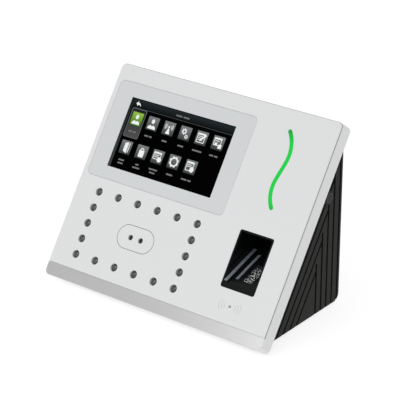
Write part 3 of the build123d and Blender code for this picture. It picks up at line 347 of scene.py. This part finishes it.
whitePaint = skin("whitePaint", (0.72, 0.725, 0.73), 0.36, drift=0.012, dust=0.015, grain=3000.0, bump=0.04)
whiteGlass = skin("whiteGlass", (0.63, 0.645, 0.657), 0.22, drift=0.01, dust=0.01, grain=900.0, bump=0.01)
silverTrim = metal("silverTrim", (0.70, 0.70, 0.71), 0.34, depth=0.05, stretch=60.0, scale=1600.0, bump=0.04)
housingPlastic = makeHousingPlastic()
blackPlastic = skin("blackPlastic", (0.03, 0.03, 0.032), 0.5, drift=0.1, grain=1500.0)
windowBlack = skin("windowBlack", (0.0008, 0.0008, 0.0008), 0.3, drift=0.1, dust=0.0, grain=600.0, bump=0.01,
                   Specular_IOR_Level=0.0)
coverPaint = makeCoverPaint()
trayGloss = makeTrayGloss()
smokedLamp = makeSmoked("smokedLamp", (0.045, 0.045, 0.046), 0.16, 0.9)
lensGlass = makeSmoked("lensGlass", (0.010, 0.011, 0.013), 0.05)
platenGlass = makeSmoked("platenGlass", (0.012, 0.014, 0.016), 0.06)
zincPlate = metal("zincPlate", (0.58, 0.59, 0.60), 0.38, depth=0.2, stretch=3.0, scale=260.0, bump=0.08)
pressedSteel = metal("pressedSteel", (0.62, 0.63, 0.64), 0.26, depth=0.1, stretch=12.0, scale=800.0)
screwSteel = metal("screwSteel", (0.60, 0.60, 0.62), 0.3, depth=0.1, stretch=1.0, scale=1400.0)
copperTrack = metal("copperTrack", (0.75, 0.42, 0.25), 0.3)
circuitBoard = skin("circuitBoard", (0.012, 0.11, 0.045), 0.3, drift=0.5, dust=0.02, grain=700.0, bump=0.3)
whitePlastic = skin("whitePlastic", (0.75, 0.75, 0.72), 0.45, drift=0.04)
greenPlastic = skin("greenPlastic", (0.03, 0.28, 0.09), 0.45, drift=0.08)
redPlastic = skin("redPlastic", (0.5, 0.03, 0.02), 0.3, drift=0.08)
softRubber = skin("softRubber", (0.012, 0.012, 0.012), 0.75, drift=0.2, dust=0.08, grain=900.0, bump=0.3)
pressedPaper = skin("pressedPaper", (0.04, 0.038, 0.035), 0.85, drift=0.3, grain=600.0, bump=0.6)
shrinkSleeve = skin("shrinkSleeve", (0.03, 0.09, 0.32), 0.25, drift=0.08, grain=300.0, bump=0.2)


statusLight = {"strength": 0.78, "unlit": (0.005, 0.12, 0.02, 1), "lit": (0.010, 0.66, 0.068, 1),
               "ends": (0.004, 0.33, 0.03, 1), "fade": (0.7, 1.0)}


def makeGreenLight():
    # Lit diffuser, a little dimmer towards its two ends
    material, tree, shader = newMaterial("greenLight", Roughness=0.35, Specular_IOR_Level=0.15,
                                         Emission_Strength=statusLight["strength"])
    shader.inputs["Base Color"].default_value = statusLight["unlit"]
    low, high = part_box("status_light_pipe")
    parts = tree.nodes.new("ShaderNodeSeparateXYZ")
    wire(tree, (tree.nodes.new("ShaderNodeTexCoord").outputs["Object"], parts.inputs[0]))
    middle, half = (low[2] + high[2]) / 2, (high[2] - low[2]) / 2
    height = maths(tree, "DIVIDE", maths(tree, "SUBTRACT", parts.outputs["Z"], middle), half)
    away = remap(tree, maths(tree, "ABSOLUTE", height), *statusLight["fade"])
    mix = blendColour(tree, away, statusLight["lit"], statusLight["ends"])
    wire(tree, (mix, shader.inputs["Emission Color"]))
    return material


greenLight = makeGreenLight()
finishes = {
    coverPaint: ("front_cover",),
    whitePaint: ("camera_bezel",),
    silverTrim: ("bottom_trim",),
    whiteGlass: ("touch_panel",),
    housingPlastic: ("rear_housing",),
    trayGloss: ("finger_tray",),
    blackPlastic: ("panel_tape", "camera_barrels", "finger_sensor", "tamper_switch", "main_board_chips",
                   "clock_cell_holder", "power_inlet", "reset_switch", "speaker_frame"),
    smokedLamp: ("infrared_lamps",),
    lensGlass: ("camera_lenses",),
    platenGlass: ("finger_platen",),
    zincPlate: ("wall_bracket",),
    pressedSteel: ("display_module", "display_frame", "clock_cell", "ethernet_socket", "usb_socket",
                   "speaker_magnet", "battery_clip"),
    screwSteel: ("bracket_lock_screw", "board_screws", "cover_screws"),
    copperTrack: ("card_aerial_coil",),
    circuitBoard: ("camera_board", "infrared_lamp_board", "status_light_board", "finger_sensor_board",
                   "card_aerial_board", "main_board", "socket_board"),
    whitePlastic: ("status_light_leds", "tamper_plunger"),
    greenPlastic: ("terminal_blocks",),
    redPlastic: ("reset_button",),
    softRubber: ("side_caps", "rubber_feet"),
    pressedPaper: ("speaker_cone",),
    shrinkSleeve: ("backup_battery",),
    greenLight: ("status_light_pipe",),
}
for material, names in finishes.items():
    for name in names:
        mesh = nodes[name].data
        mesh.materials.clear()
        mesh.materials.append(material)
print("finishes placed on", sum(len(n) for n in finishes.values()), "nodes")


# Shapes in the face frame

def facesSince(bm, old):
    return [f for f in bm.faces if f not in old]


def raiseFaces(bm, faces, thick):
    made = bmesh.ops.extrude_face_region(bm, geom=list(faces))
    verts = [e for e in made["geom"] if isinstance(e, bmesh.types.BMVert)]
    bmesh.ops.translate(bm, verts=verts, vec=(0, 0, thick))


def roundedFace(bm, size, corner, steps):
    # A flat rectangle about the origin, with rounded corners
    old = set(bm.faces)
    made = bmesh.ops.create_grid(bm, x_segments=1, y_segments=1, size=0.5)
    bmesh.ops.scale(bm, verts=made["verts"], vec=(size[0], size[1], 1))
    if corner:
        bmesh.ops.bevel(bm, geom=made["verts"], offset=corner, offset_type="OFFSET", affect="VERTICES",
                        segments=steps, profile=0.5, material=-1)
    return facesSince(bm, old)


def vertsOf(faces):
    return list({v for f in faces for v in f.verts})


def addPlate(bm, at, size, low, thick, corner=0.0, turn=0.0):
    place = Matrix.Translation((at[0], at[1], low)) @ Matrix.Rotation(math.radians(turn), 4, "Z")
    faces = roundedFace(bm, size, corner, 6)
    bmesh.ops.transform(bm, matrix=place, verts=vertsOf(faces))
    raiseFaces(bm, faces, thick)


def addDisc(bm, at, radius, low, thick, squeeze=1.0, sides=24):
    old = set(bm.faces)
    place = Matrix.Translation((at[0], at[1], low)) @ Matrix.Diagonal((squeeze, 1, 1, 1))
    bmesh.ops.create_circle(bm, cap_ends=True, radius=radius, segments=sides, matrix=place)
    raiseFaces(bm, facesSince(bm, old), thick)


def addRing(bm, at, inner, outer, low, thick, start=0.0, sweep=360.0, steps=24):
    old = set(bm.faces)
    angle = math.radians(start)
    along = Vector((math.cos(angle), math.sin(angle), 0))
    centre = Vector((at[0], at[1], low))
    ends = [bm.verts.new(centre + along * r) for r in (inner, outer)]
    edge = bm.edges.new(ends)
    bmesh.ops.spin(bm, geom=[*ends, edge], cent=centre, axis=(0, 0, 1), angle=math.radians(sweep), steps=steps,
                   use_merge=sweep >= 360)
    raiseFaces(bm, facesSince(bm, old), thick)


def addFrame(bm, at, size, corner, width, low, thick):
    # A closed band of one width whose outer edge is a rounded rectangle
    middle = roundedFace(bm, size, corner, 12)
    bmesh.ops.translate(bm, verts=vertsOf(middle), vec=(at[0], at[1], low))
    band = bmesh.ops.inset_region(bm, faces=middle, thickness=width, use_boundary=True,
                                  use_even_offset=True)["faces"]
    bmesh.ops.delete(bm, geom=middle, context="FACES_ONLY")
    raiseFaces(bm, band, thick)


def addShape(bm, points, low, thick):
    face = bm.faces.new([bm.verts.new((x, y, low)) for x, y in points])
    raiseFaces(bm, [face], thick)


def makePiece(name, bm, material, place=fromFace):
    bmesh.ops.recalc_face_normals(bm, faces=bm.faces)
    bm.transform(place)
    mesh = bpy.data.meshes.new(name)
    bm.to_mesh(mesh)
    bm.free()
    mesh.materials.append(material)
    obj = bpy.data.objects.new(name, mesh)
    scene.collection.objects.link(obj)
    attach(obj, "terminal")
    return obj


# Touch glass: a white printed border with a rectangular window over the display
displayLow, displayHigh = boxOnFace("display_module")
displayAt = (displayLow + displayHigh) / 2
touchGlass = {"window": (95.6, 54.4), "corner": 4.0, "edge": 0.12, "windowDeep": 0.06,
              "rimWithin": 0.01, "rimTurn": 0.5}     # how the top rim's edges are told from the others


def makeTouchGlass():
    low, high = boxOnFace("touch_panel")
    middle, size = (low + high) / 2, high - low
    bm = bmesh.new()
    roundedFace(bm, size, touchGlass["corner"], 8)
    bmesh.ops.translate(bm, verts=bm.verts, vec=(middle.x, middle.y, low.z))
    half = (touchGlass["window"][0] / 2, touchGlass["window"][1] / 2)
    for axis in (0, 1):
        for side in (-1, 1):
            point = displayAt.copy()
            point[axis] += side * half[axis]
            normal = Vector((1, 0, 0)) if axis == 0 else Vector((0, 1, 0))
            everything = [*bm.verts, *bm.edges, *bm.faces]
            bmesh.ops.bisect_plane(bm, geom=everything, plane_co=point, plane_no=normal)
    inside = [f for f in bm.faces
              if all(abs(f.calc_center_median()[i] - displayAt[i]) < half[i] for i in (0, 1))]
    bmesh.ops.delete(bm, geom=inside, context="FACES")
    raiseFaces(bm, bm.faces, size.z)
    bmesh.ops.recalc_face_normals(bm, faces=bm.faces)
    rimLow = high.z - touchGlass["rimWithin"]
    rim = [e for e in bm.edges if all(v.co.z > rimLow for v in e.verts) and len(e.link_faces) == 2
           and abs(e.link_faces[0].normal.z - e.link_faces[1].normal.z) > touchGlass["rimTurn"]]
    bmesh.ops.bevel(bm, geom=rim, offset=touchGlass["edge"], offset_type="OFFSET", affect="EDGES", segments=2,
                    profile=0.5, material=-1)
    glass = makePiece("touch_glass", bm, whiteGlass)
    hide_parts("touch_panel")
    bm = bmesh.new()
    addPlate(bm, displayAt, touchGlass["window"], low.z, size.z - touchGlass["windowDeep"])
    makePiece("display_window", bm, windowBlack)


makeTouchGlass()
print("touch glass made")


# What the display shows: a plain menu of pictograms without lettering
menu = {
    "ink": 0.008,           # thickness of each lit layer
    "base": -0.055,         # the lowest layer, just above the window
    "tile": (9.9, 10.2),
    "rows": ((12.1, (-37.2, -22.1, -7.0, 8.0, 23.0, 38.1)), (-10.25, (-37.5, -22.5, -7.5, 7.6, 22.9))),
    "labelDrop": 9.9,
    "labels": ((3.4, 2.8), (3.4, 2.6), (4.6,), (5.2,), (8.4,), (3.6, 3.0)),
    "lowLabels": ((5.2,), (3.0,), (7.6,), (5.6,), (5.0, 3.0)),
    "secondLabels": (5.0, 6.6, 5.0),
    "labelHigh": 1.15,
    "wordGap": 0.8,
    "secondDrop": 2.5,      # from a label to the one under it
    "secondHigh": 1.1,
    "titleMarks": [((-2.0, 23.1), (5.6, 1.1)), ((4.6, 23.1), (5.4, 1.1))],
    "titleBar": ((0.4, 23.3), (94.0, 6.6)),
    "leftStrip": ((-46.3, 0.0), (2.2, 53.6)),
    "rule": ((7.8, 20.3), (78.4, 0.3)),
    "highlight": ((-37.25, 8.8), (13.7, 22.6)),
    "highlightEdge": 1.1,   # by how much the fill is smaller than the box round it
    "corners": {"box": 1.2, "fill": 0.9, "tile": 0.3, "label": 0.35},
    "backArrow": ((-42.6, 23.5), (-40.6, 25.4), (-40.6, 24.3), (-38.9, 23.9), (-37.7, 21.8), (-39.4, 22.8),
                  (-40.6, 22.7), (-40.6, 21.6)),
}
menuGlows = {               # colours at the top and at the bottom of each lit shape
    "tileGlow": ((0.20, 0.21, 0.21), (0.045, 0.05, 0.05)),
    "pickedGlow": ((0.28, 0.52, 0.06), (0.035, 0.14, 0.012)),
    "boxGlow": ((0.15, 0.15, 0.15), (0.12, 0.12, 0.12)),
    "boxFillGlow": ((0.012, 0.016, 0.017), (0.075, 0.075, 0.075)),
    "barGlow": ((0.018, 0.024, 0.026), (0.003, 0.004, 0.004)),
    "stripGlow": ((0.012, 0.014, 0.015), (0.05, 0.055, 0.06)),
    "lineGlow": ((0.09, 0.10, 0.10), (0.05, 0.06, 0.06)),
    "labelGlow": ((0.20, 0.20, 0.20), (0.16, 0.16, 0.16)),
    "inkGlow": ((0.86, 0.88, 0.88), (0.86, 0.88, 0.88)),
}
menuAt = Vector((displayAt.x, displayAt.y, 0))


def layer(step):
    return menu["base"] + step * menu["ink"]


def finishMenuPiece(name, bm, material):
    bmesh.ops.translate(bm, verts=bm.verts, vec=menuAt)
    makePiece(name, bm, material)


def uvBlocks(bm, blocks):
    # One UV square over each block, so that its shade runs from its bottom to its top
    uv = bm.loops.layers.uv.new("UVMap")
    for face in bm.faces:
        middle = face.calc_center_median()
        (x, y), (w, h) = min(blocks, key=lambda b: (b[0][0] - middle.x) ** 2 + (b[0][1] - middle.y) ** 2)
        for loop in face.loops:
            loop[uv].uv = ((loop.vert.co.x - x) / w + 0.5, (loop.vert.co.y - y) / h + 0.5)


def makeBlocks(name, blocks, step, material, corner=0.0):
    bm = bmesh.new()
    for at, size in blocks:
        addPlate(bm, at, size, layer(step), menu["ink"], corner)
    uvBlocks(bm, blocks)
    finishMenuPiece(name, bm, material)


def drawPerson(bm, x, y):
    addDisc(bm, (x, y + 1.7), 1.75, layer(4), menu["ink"], 0.8)
    addShape(bm, [(x - 3.7, y - 4.1), (x + 3.7, y - 4.1), (x + 3.1, y - 2.2), (x + 1.2, y - 1.1), (x, y - 2.2),
                  (x - 1.2, y - 1.1), (x - 3.1, y - 2.2)], layer(4), menu["ink"])


def drawMast(bm, x, y):
    addShape(bm, [(x - 1.9, y - 4.2), (x + 1.9, y - 4.2), (x + 0.35, y + 0.3), (x - 0.35, y + 0.3)],
             layer(4), menu["ink"])
    addDisc(bm, (x, y + 1.2), 0.8, layer(4), menu["ink"])
    for start in (-35, 145):
        for radius in (2.0, 3.2):
            addRing(bm, (x, y + 1.2), radius, radius + 0.5, layer(4), menu["ink"], start, 70, 8)


def drawGears(bm, x, y):
    for cx, cy, r in ((x - 1.0, y + 1.2, 1.7), (x + 1.9, y - 2.3, 1.15)):
        addRing(bm, (cx, cy), r * 0.55, r, layer(4), menu["ink"])
        for i in range(8):
            turn = i * 45
            away = Vector((math.cos(math.radians(turn)), math.sin(math.radians(turn)))) * r * 1.18
            addPlate(bm, (cx + away.x, cy + away.y), (r * 0.55, r * 0.4), layer(5), menu["ink"], 0, turn)


def drawWindow(bm, x, y, size, rows=0):
    # An outlined sheet with a solid header and a few lines of writing
    w, h = size
    addFrame(bm, (x, y), size, 0.4, 0.55, layer(4), menu["ink"])
    addPlate(bm, (x, y + h / 2 - 0.7), (w - 0.4, 1.2), layer(5), menu["ink"])
    for i in range(rows):
        addPlate(bm, (x - 0.5, y + h / 2 - 2.4 - 1.3 * i), (w - 2.8, 0.5), layer(5), menu["ink"])


def drawPage(bm, x, y):
    drawWindow(bm, x - 0.4, y, (7.0, 7.2), 3)
    addPlate(bm, (x + 1.3, y + 0.4), (6.6, 1.3), layer(6), menu["ink"], 0.2, 48)


def drawSquares(bm, x, y):
    drawWindow(bm, x - 0.7, y + 0.9, (6.6, 5.8), 1)
    for dx, dy, size in ((-1.6, -1.0, 2.2), (2.2, -2.3, 3.0)):
        addPlate(bm, (x + dx, y + dy), (size, size), layer(6), menu["ink"], 0.3)


def drawDoor(bm, x, y):
    addShape(bm, [(x - 1.6, y - 3.0), (x + 1.6, y - 4.3), (x + 1.6, y + 4.2), (x - 1.6, y + 3.2)],
             layer(4), menu["ink"])
    addPlate(bm, (x + 2.7, y + 0.1), (0.6, 7.4), layer(4), menu["ink"])


def drawCard(bm, x, y):
    addPlate(bm, (x, y - 1.3), (4.6, 5.2), layer(4), menu["ink"], 0.5)
    addRing(bm, (x, y + 1.4), 1.0, 1.7, layer(5), menu["ink"], 0, 180, 10)


def drawCalendar(bm, x, y):
    drawWindow(bm, x - 0.6, y + 0.8, (7.0, 5.6), 2)
    addDisc(bm, (x + 2.0, y - 1.8), 1.9, layer(6), menu["ink"])


def drawRing(bm, x, y):
    addRing(bm, (x, y), 2.5, 3.6, layer(4), menu["ink"])
    for i in range(8):
        turn = i * 45 + 22.5
        away = Vector((math.cos(math.radians(turn)), math.sin(math.radians(turn)))) * 3.7
        addPlate(bm, (x + away.x, y + away.y), (0.9, 1.3), layer(5), menu["ink"], 0, turn)


def drawNotes(bm, x, y):
    drawWindow(bm, x - 0.8, y + 0.4, (6.4, 7.0), 2)
    addDisc(bm, (x + 1.6, y - 1.7), 2.1, layer(6), menu["ink"], 0.85)


drawings = ((drawPerson, drawPerson, drawMast, drawGears, drawPage, drawSquares),
            (drawDoor, drawCard, drawCalendar, drawRing, drawNotes))


def menuLabels():
    # A pale bar stands for each word
    labels = list(menu["titleMarks"])
    for (y, xs), row in zip(menu["rows"], (menu["labels"], menu["lowLabels"])):
        for x, words in zip(xs, row):
            start = x - (sum(words) + menu["wordGap"] * (len(words) - 1)) / 2
            for word in words:
                labels.append(((start + word / 2, y - menu["labelDrop"]), (word, menu["labelHigh"])))
                start += word + menu["wordGap"]
    y, xs = menu["rows"][1]
    low = y - menu["labelDrop"] - menu["secondDrop"]
    return labels + [((x, low), (w, menu["secondHigh"])) for x, w in zip(xs, menu["secondLabels"])]


def makeMenu():
    glow = {name: makeGlow(name, *colours) for name, colours in menuGlows.items()}
    corner = menu["corners"]
    makeBlocks("menu_title_bar", [menu["titleBar"]], 0, glow["barGlow"])
    makeBlocks("menu_left_strip", [menu["leftStrip"]], 1, glow["stripGlow"])
    makeBlocks("menu_rule", [menu["rule"]], 1, glow["lineGlow"])
    makeBlocks("menu_highlight_edge", [menu["highlight"]], 2, glow["boxGlow"], corner["box"])
    at, size = menu["highlight"]
    inside = (size[0] - menu["highlightEdge"], size[1] - menu["highlightEdge"])
    makeBlocks("menu_highlight_fill", [(at, inside)], 3, glow["boxFillGlow"], corner["fill"])
    tiles = [((x, y), menu["tile"]) for y, xs in menu["rows"] for x in xs]
    makeBlocks("menu_picked_tile", tiles[:1], 4, glow["pickedGlow"], corner["tile"])
    makeBlocks("menu_tiles", tiles[1:], 3, glow["tileGlow"], corner["tile"])
    bm = bmesh.new()
    for (y, xs), row in zip(menu["rows"], drawings):
        for x, draw in zip(xs, row):
            draw(bm, x, y)
    addShape(bm, menu["backArrow"], layer(4), menu["ink"])
    bmesh.ops.translate(bm, verts=bm.verts, vec=(0, 0, menu["ink"]))
    uvBlocks(bm, tiles)
    finishMenuPiece("menu_pictograms", bm, glow["inkGlow"])
    makeBlocks("menu_label_marks", menuLabels(), 5, glow["labelGlow"], corner["label"])


makeMenu()
print("display menu made")


# Card mark: a dot between three thin arcs on each side, printed on the cover
cardMark = {"at": (63.5, -61.5), "dot": 0.95, "radii": (4.4, 6.6, 8.8), "width": 0.45, "sweep": 54.0,
            "ink": 0.02}


def makeCardMark():
    paleInk = skin("paleInk", (0.55, 0.555, 0.56), 0.4, drift=0.05, dust=0.0)
    greyInk = skin("greyInk", (0.22, 0.225, 0.23), 0.4, drift=0.05, dust=0.0)
    bm = bmesh.new()
    for radius in cardMark["radii"]:
        for middle in (0, 180):
            addRing(bm, cardMark["at"], radius, radius + cardMark["width"], 0.0, cardMark["ink"],
                    middle - cardMark["sweep"] / 2, cardMark["sweep"], 10)
    makePiece("card_mark_arcs", bm, paleInk)
    bm = bmesh.new()
    addDisc(bm, cardMark["at"], cardMark["dot"], 0.0, cardMark["ink"])
    makePiece("card_mark_dot", bm, greyInk)


makeCardMark()
print("card mark made")


# A dark grey ring of painted shade fills the gap round the camera bezel
bezelGapShade = {"width": 0.4, "out": 0.12, "low": -0.25, "thick": 0.27, "straight": 0.01}


def makeBezelGapShade():
    points = [toFace @ v.co for v in nodes["camera_bezel"].data.vertices]
    points = [p for p in points if p.z > bezelGapShade["low"]]
    low, high = [Vector([pick(p[i] for p in points) for i in range(3)]) for pick in (min, max)]
    middle, size = (low + high) / 2, high - low + Vector((2, 2, 0)) * bezelGapShade["out"]
    bm = bmesh.new()
    corner = min(size.x, size.y) / 2 - bezelGapShade["straight"]
    addFrame(bm, middle, size, corner, bezelGapShade["width"], bezelGapShade["low"], bezelGapShade["thick"])
    # Painted shade: the dark grey ring stands in for the shade in the gap
    makePiece("bezel_gap_shade", bm, skin("greyGapShade", (0.16, 0.16, 0.16), 0.6, drift=0.1))


makeBezelGapShade()
print("bezel gap shade made")


# Reading glass on the ramp: bevelled long edges, the left one greyed by a painted reflection
reading = {"bevel": 2.1, "drop": 0.5, "sag": 3.1}
# Across and along run from 0 to 1 over the glass
readingSheen = {"bevelSheen": (0.20, 0.17), "lines": (60.0, 1.5), "smudgeAndGlintAcross": (0.45, 0.66),
               "smudgeAndGlintAlong": (0.66, 0.36), "glintSpecks": (0.52, 0.60), "black": (0.004, 0.005, 0.006, 1),
               "grey": (0.24, 0.26, 0.29, 1), "bright": (0.80, 0.82, 0.83, 1)}


def rampPlace():
    low, high = boxOnFace("finger_platen")
    along = Vector((0, math.cos(rampAngle), -math.sin(rampAngle)))
    out = Vector((0, math.sin(rampAngle), math.cos(rampAngle)))
    corners = [toFace @ v.co for v in nodes["finger_platen"].data.vertices]
    top = max(p.dot(out) for p in corners)
    start, end = min(p.dot(along) for p in corners), max(p.dot(along) for p in corners)
    turn = Matrix((Vector((1, 0, 0)), along, out)).transposed().to_4x4()
    place = fromFace @ turn @ Matrix.Translation(((low.x + high.x) / 2, start, top))
    return place, high.x - low.x, end - start


def makeReadingGlass():
    place, wide, long = rampPlace()
    half, bevel, drop = wide / 2, reading["bevel"], reading["drop"]
    profile = ((-half, -drop), (-half + bevel, 0), (half - bevel, 0), (half, -drop), (half, -reading["sag"]),
               (-half, -reading["sag"]))
    bm = bmesh.new()
    face = bm.faces.new([bm.verts.new((x, 0, z)) for x, z in profile])
    made = bmesh.ops.extrude_face_region(bm, geom=[face])
    verts = [e for e in made["geom"] if isinstance(e, bmesh.types.BMVert)]
    bmesh.ops.translate(bm, verts=verts, vec=(0, long, 0))
    uv = bm.loops.layers.uv.new("UVMap")
    for face in bm.faces:
        for loop in face.loops:
            loop[uv].uv = (loop.vert.co.x / wide + 0.5, loop.vert.co.y / long)
    glass = makePiece("reading_glass", bm, makeReadingMaterial(), place)
    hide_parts("finger_platen")


def makeReadingMaterial():
    # Near black glass: a painted reflection greys the bevel on the left, and rougher smudges carry painted
    # bright glints at the low right corner
    material, tree, shader = newMaterial("readingGlass", Specular_IOR_Level=0.3)
    parts = tree.nodes.new("ShaderNodeSeparateXYZ")
    coordinates = tree.nodes.new("ShaderNodeTexCoord").outputs
    wire(tree, (coordinates["UV"], parts.inputs[0]))
    across, along = parts.outputs["X"], parts.outputs["Y"]
    bevel = remap(tree, across, *readingSheen["bevelSheen"])
    lines = tree.nodes.new("ShaderNodeTexNoise")
    joined = tree.nodes.new("ShaderNodeCombineXYZ")
    wire(tree, (maths(tree, "MULTIPLY", across, readingSheen["lines"][0]), joined.inputs["X"]),
         (maths(tree, "MULTIPLY", along, readingSheen["lines"][1]), joined.inputs["Y"]),
         (joined.outputs[0], lines.inputs["Vector"]))
    lines.inputs["Scale"].default_value = 1.0
    # Painted reflection: the left bevel is greyed, streaked by the noise lines
    bevelSheen = maths(tree, "MULTIPLY", bevel, remap(tree, lines.outputs["Fac"], 0.35, 0.65, 0.4, 1.1), True)
    corner = maths(tree, "MULTIPLY", remap(tree, across, *readingSheen["smudgeAndGlintAcross"]),
                   remap(tree, along, *readingSheen["smudgeAndGlintAlong"]))
    glintSpecks = remap(tree, noise(tree, coordinates["Object"], 1100.0, 5.0), *readingSheen["glintSpecks"])
    # Smudges make the corner rougher; their bright specks are painted glints
    smudgeAndGlint = maths(tree, "MULTIPLY", corner, glintSpecks, True)
    base = blendColour(tree, bevelSheen, readingSheen["black"], readingSheen["grey"])
    wire(tree, (blendColour(tree, smudgeAndGlint, base, readingSheen["bright"]), shader.inputs["Base Color"]),
         (remap(tree, maths(tree, "MAXIMUM", bevelSheen, smudgeAndGlint), 0.0, 1.0, 0.12, 0.55), shader.inputs["Roughness"]))
    return material


makeReadingGlass()
print("reading glass made")


# A thin lighter ring of painted highlight round each side cap
capRimHighlight = {"inner": 3.3, "outer": 3.75, "thick": 0.06, "sunk": 0.05}


def makeCapRimHighlights():
    low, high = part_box("side_caps")
    centre = (Vector(low) + Vector(high)) / 2
    bm = bmesh.new()
    for side in (-1, 1):
        part = bmesh.new()
        addRing(part, (0, 0), capRimHighlight["inner"], capRimHighlight["outer"], 0.0, capRimHighlight["thick"])
        turn = Matrix.Rotation(math.radians(90 * side), 4, "Y")
        centre.x = side * (high[0] - capRimHighlight["sunk"] * mm)
        part.transform(Matrix.Translation(centre) @ turn @ Matrix.Scale(mm, 4))
        mesh = bpy.data.meshes.new("rim")
        part.to_mesh(mesh)
        part.free()
        bm.from_mesh(mesh)
        bpy.data.meshes.remove(mesh)
    # Painted highlight: a lighter grey ring stands in for light on the cap's edge
    paintedHighlightRubber = skin("paintedHighlightRubber", (0.035, 0.035, 0.035), 0.5, drift=0.3)
    makePiece("side_cap_rim_highlights", bm, paintedHighlightRubber, Matrix())


makeCapRimHighlights()
print("side cap rims made")


# Contacts and clamp screws seen in the connector bay, in a frame that looks in from the rear
contacts = {"wires": 8, "wirePitch": 1.02, "wireSize": (0.45, 0.3), "wireDrop": 3.4, "wireIn": 1.6,
            "wireLong": 7.0,
            "pads": 4, "padPitch": 2.3, "padSize": (1.1, 0.12), "padRise": 0.28, "padIn": 1.8, "padLong": 5.5}
clamps = {"blocks": (-22.5, 0.0, 22.5), "ways": 6, "pitch": 3.33, "rise": 2.4, "radius": 0.9, "proud": 0.15,
          "slot": (1.5, 0.3), "slotProud": 0.02, "slotTurn": 25, "slotStep": 31}


def rearPlace(name):
    low, high = [Vector(p) * 1000 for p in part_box(name)]
    turn = Matrix(((1, 0, 0), (0, 0, -1), (0, 1, 0))).to_4x4()
    centre = Vector(((low.x + high.x) / 2, high.y, (low.z + high.z) / 2))
    return Matrix.Scale(mm, 4) @ Matrix.Translation(centre) @ turn


def makeContacts():
    gold = metal("goldContact", (0.90, 0.66, 0.26), 0.25, depth=0.08, stretch=1.0)
    bm = bmesh.new()
    for i in range(contacts["wires"]):
        across = (i - (contacts["wires"] - 1) / 2) * contacts["wirePitch"]
        addPlate(bm, (across, -contacts["wireDrop"]), contacts["wireSize"], contacts["wireIn"],
                 contacts["wireLong"])
    makePiece("network_contacts", bm, gold, rearPlace("ethernet_socket"))
    bm = bmesh.new()
    for i in range(contacts["pads"]):
        across = (i - (contacts["pads"] - 1) / 2) * contacts["padPitch"]
        addPlate(bm, (across, contacts["padRise"]), contacts["padSize"], contacts["padIn"], contacts["padLong"])
    makePiece("usb_contacts", bm, gold, rearPlace("usb_socket"))


def makeClamps():
    heads, slots = bmesh.new(), bmesh.new()
    for block in clamps["blocks"]:
        for i in range(clamps["ways"]):
            at = (block + (i - (clamps["ways"] - 1) / 2) * clamps["pitch"], clamps["rise"])
            addDisc(heads, at, clamps["radius"], -clamps["proud"], 2 * clamps["proud"])
            addPlate(slots, at, clamps["slot"], -clamps["proud"] - clamps["slotProud"], clamps["proud"], 0,
                     clamps["slotTurn"] + clamps["slotStep"] * i)
    place = rearPlace("terminal_blocks")
    makePiece("clamp_screw_heads", heads, screwSteel, place)
    makePiece("clamp_screw_slots", slots, blackPlastic, place)


makeContacts()
makeClamps()
print("socket contacts and clamp screws made")


# Floor, light and camera
studio = {"world": 0.62, "sun": 0.85, "sunFrom": (0.10, -0.35, 0.93), "sunAngle": 50.0,
          "floorSize": 6.0, "floorGlow": 0.82, "floorColour": (0.25, 0.25, 0.25, 1),
          "softboxAt": (-0.05, -0.45, 0.32), "softboxAim": (0, 0, 0.08), "softboxSize": 0.22,
          "softboxPower": 0.25}


def makeStudio():
    bm = bmesh.new()
    bmesh.ops.create_grid(bm, x_segments=1, y_segments=1, size=studio["floorSize"])
    mesh = bpy.data.meshes.new("floor")
    bm.to_mesh(mesh)
    bm.free()
    material, _, shader = newMaterial("paleFloor", Roughness=0.9)
    shader.inputs["Base Color"].default_value = studio["floorColour"]
    shader.inputs["Emission Color"].default_value = (1, 1, 1, 1)
    shader.inputs["Emission Strength"].default_value = studio["floorGlow"]
    shader.inputs["Specular IOR Level"].default_value = 0.0
    mesh.materials.append(material)
    floor = bpy.data.objects.new("floor", mesh)
    scene.collection.objects.link(floor)
    world = bpy.data.worlds.new("studio")
    scene.world = world
    world.use_nodes = True
    world.node_tree.nodes["Background"].inputs["Color"].default_value = (1, 1, 1, 1)
    world.node_tree.nodes["Background"].inputs["Strength"].default_value = studio["world"]
    sun = bpy.data.lights.new("sun", "SUN")
    sun.energy = studio["sun"]
    sun.angle = math.radians(studio["sunAngle"])
    sunObject = bpy.data.objects.new("sun", sun)
    sunObject.rotation_euler = Vector(studio["sunFrom"]).to_track_quat("Z", "Y").to_euler()
    scene.collection.objects.link(sunObject)
    box = bpy.data.lights.new("softbox", "AREA")
    box.energy = studio["softboxPower"]
    box.size = studio["softboxSize"]
    boxObject = bpy.data.objects.new("softbox", box)
    boxObject.location = studio["softboxAt"]
    away = Vector(studio["softboxAt"]) - Vector(studio["softboxAim"])
    boxObject.rotation_euler = away.to_track_quat("Z", "Y").to_euler()
    scene.collection.objects.link(boxObject)
    scene.view_settings.view_transform = "Standard"


view = {"azimuth": 37.605, "elevation": 24.421, "roll": 0.077, "distance": 1.33575,
        "aim": (0.00133, 0.00362, 0.07452), "lens": 166.75, "sensor": 36.0, "far": 50.0}


def makeCamera():
    data = bpy.data.cameras.new("camera")
    data.lens = view["lens"]
    data.sensor_width = view["sensor"]
    data.clip_end = view["far"]
    camera = bpy.data.objects.new("camera", data)
    azimuth, elevation = math.radians(view["azimuth"]), math.radians(view["elevation"])
    forward = Vector((-math.sin(azimuth) * math.cos(elevation), math.cos(azimuth) * math.cos(elevation),
                      -math.sin(elevation)))
    roll = Matrix.Rotation(math.radians(view["roll"]), 4, "Z")
    turn = forward.to_track_quat("-Z", "Y").to_matrix().to_4x4() @ roll
    camera.matrix_world = Matrix.Translation(Vector(view["aim"]) - forward * view["distance"]) @ turn
    scene.collection.objects.link(camera)
    scene.camera = camera


makeStudio()
makeCamera()
print("studio and camera made")
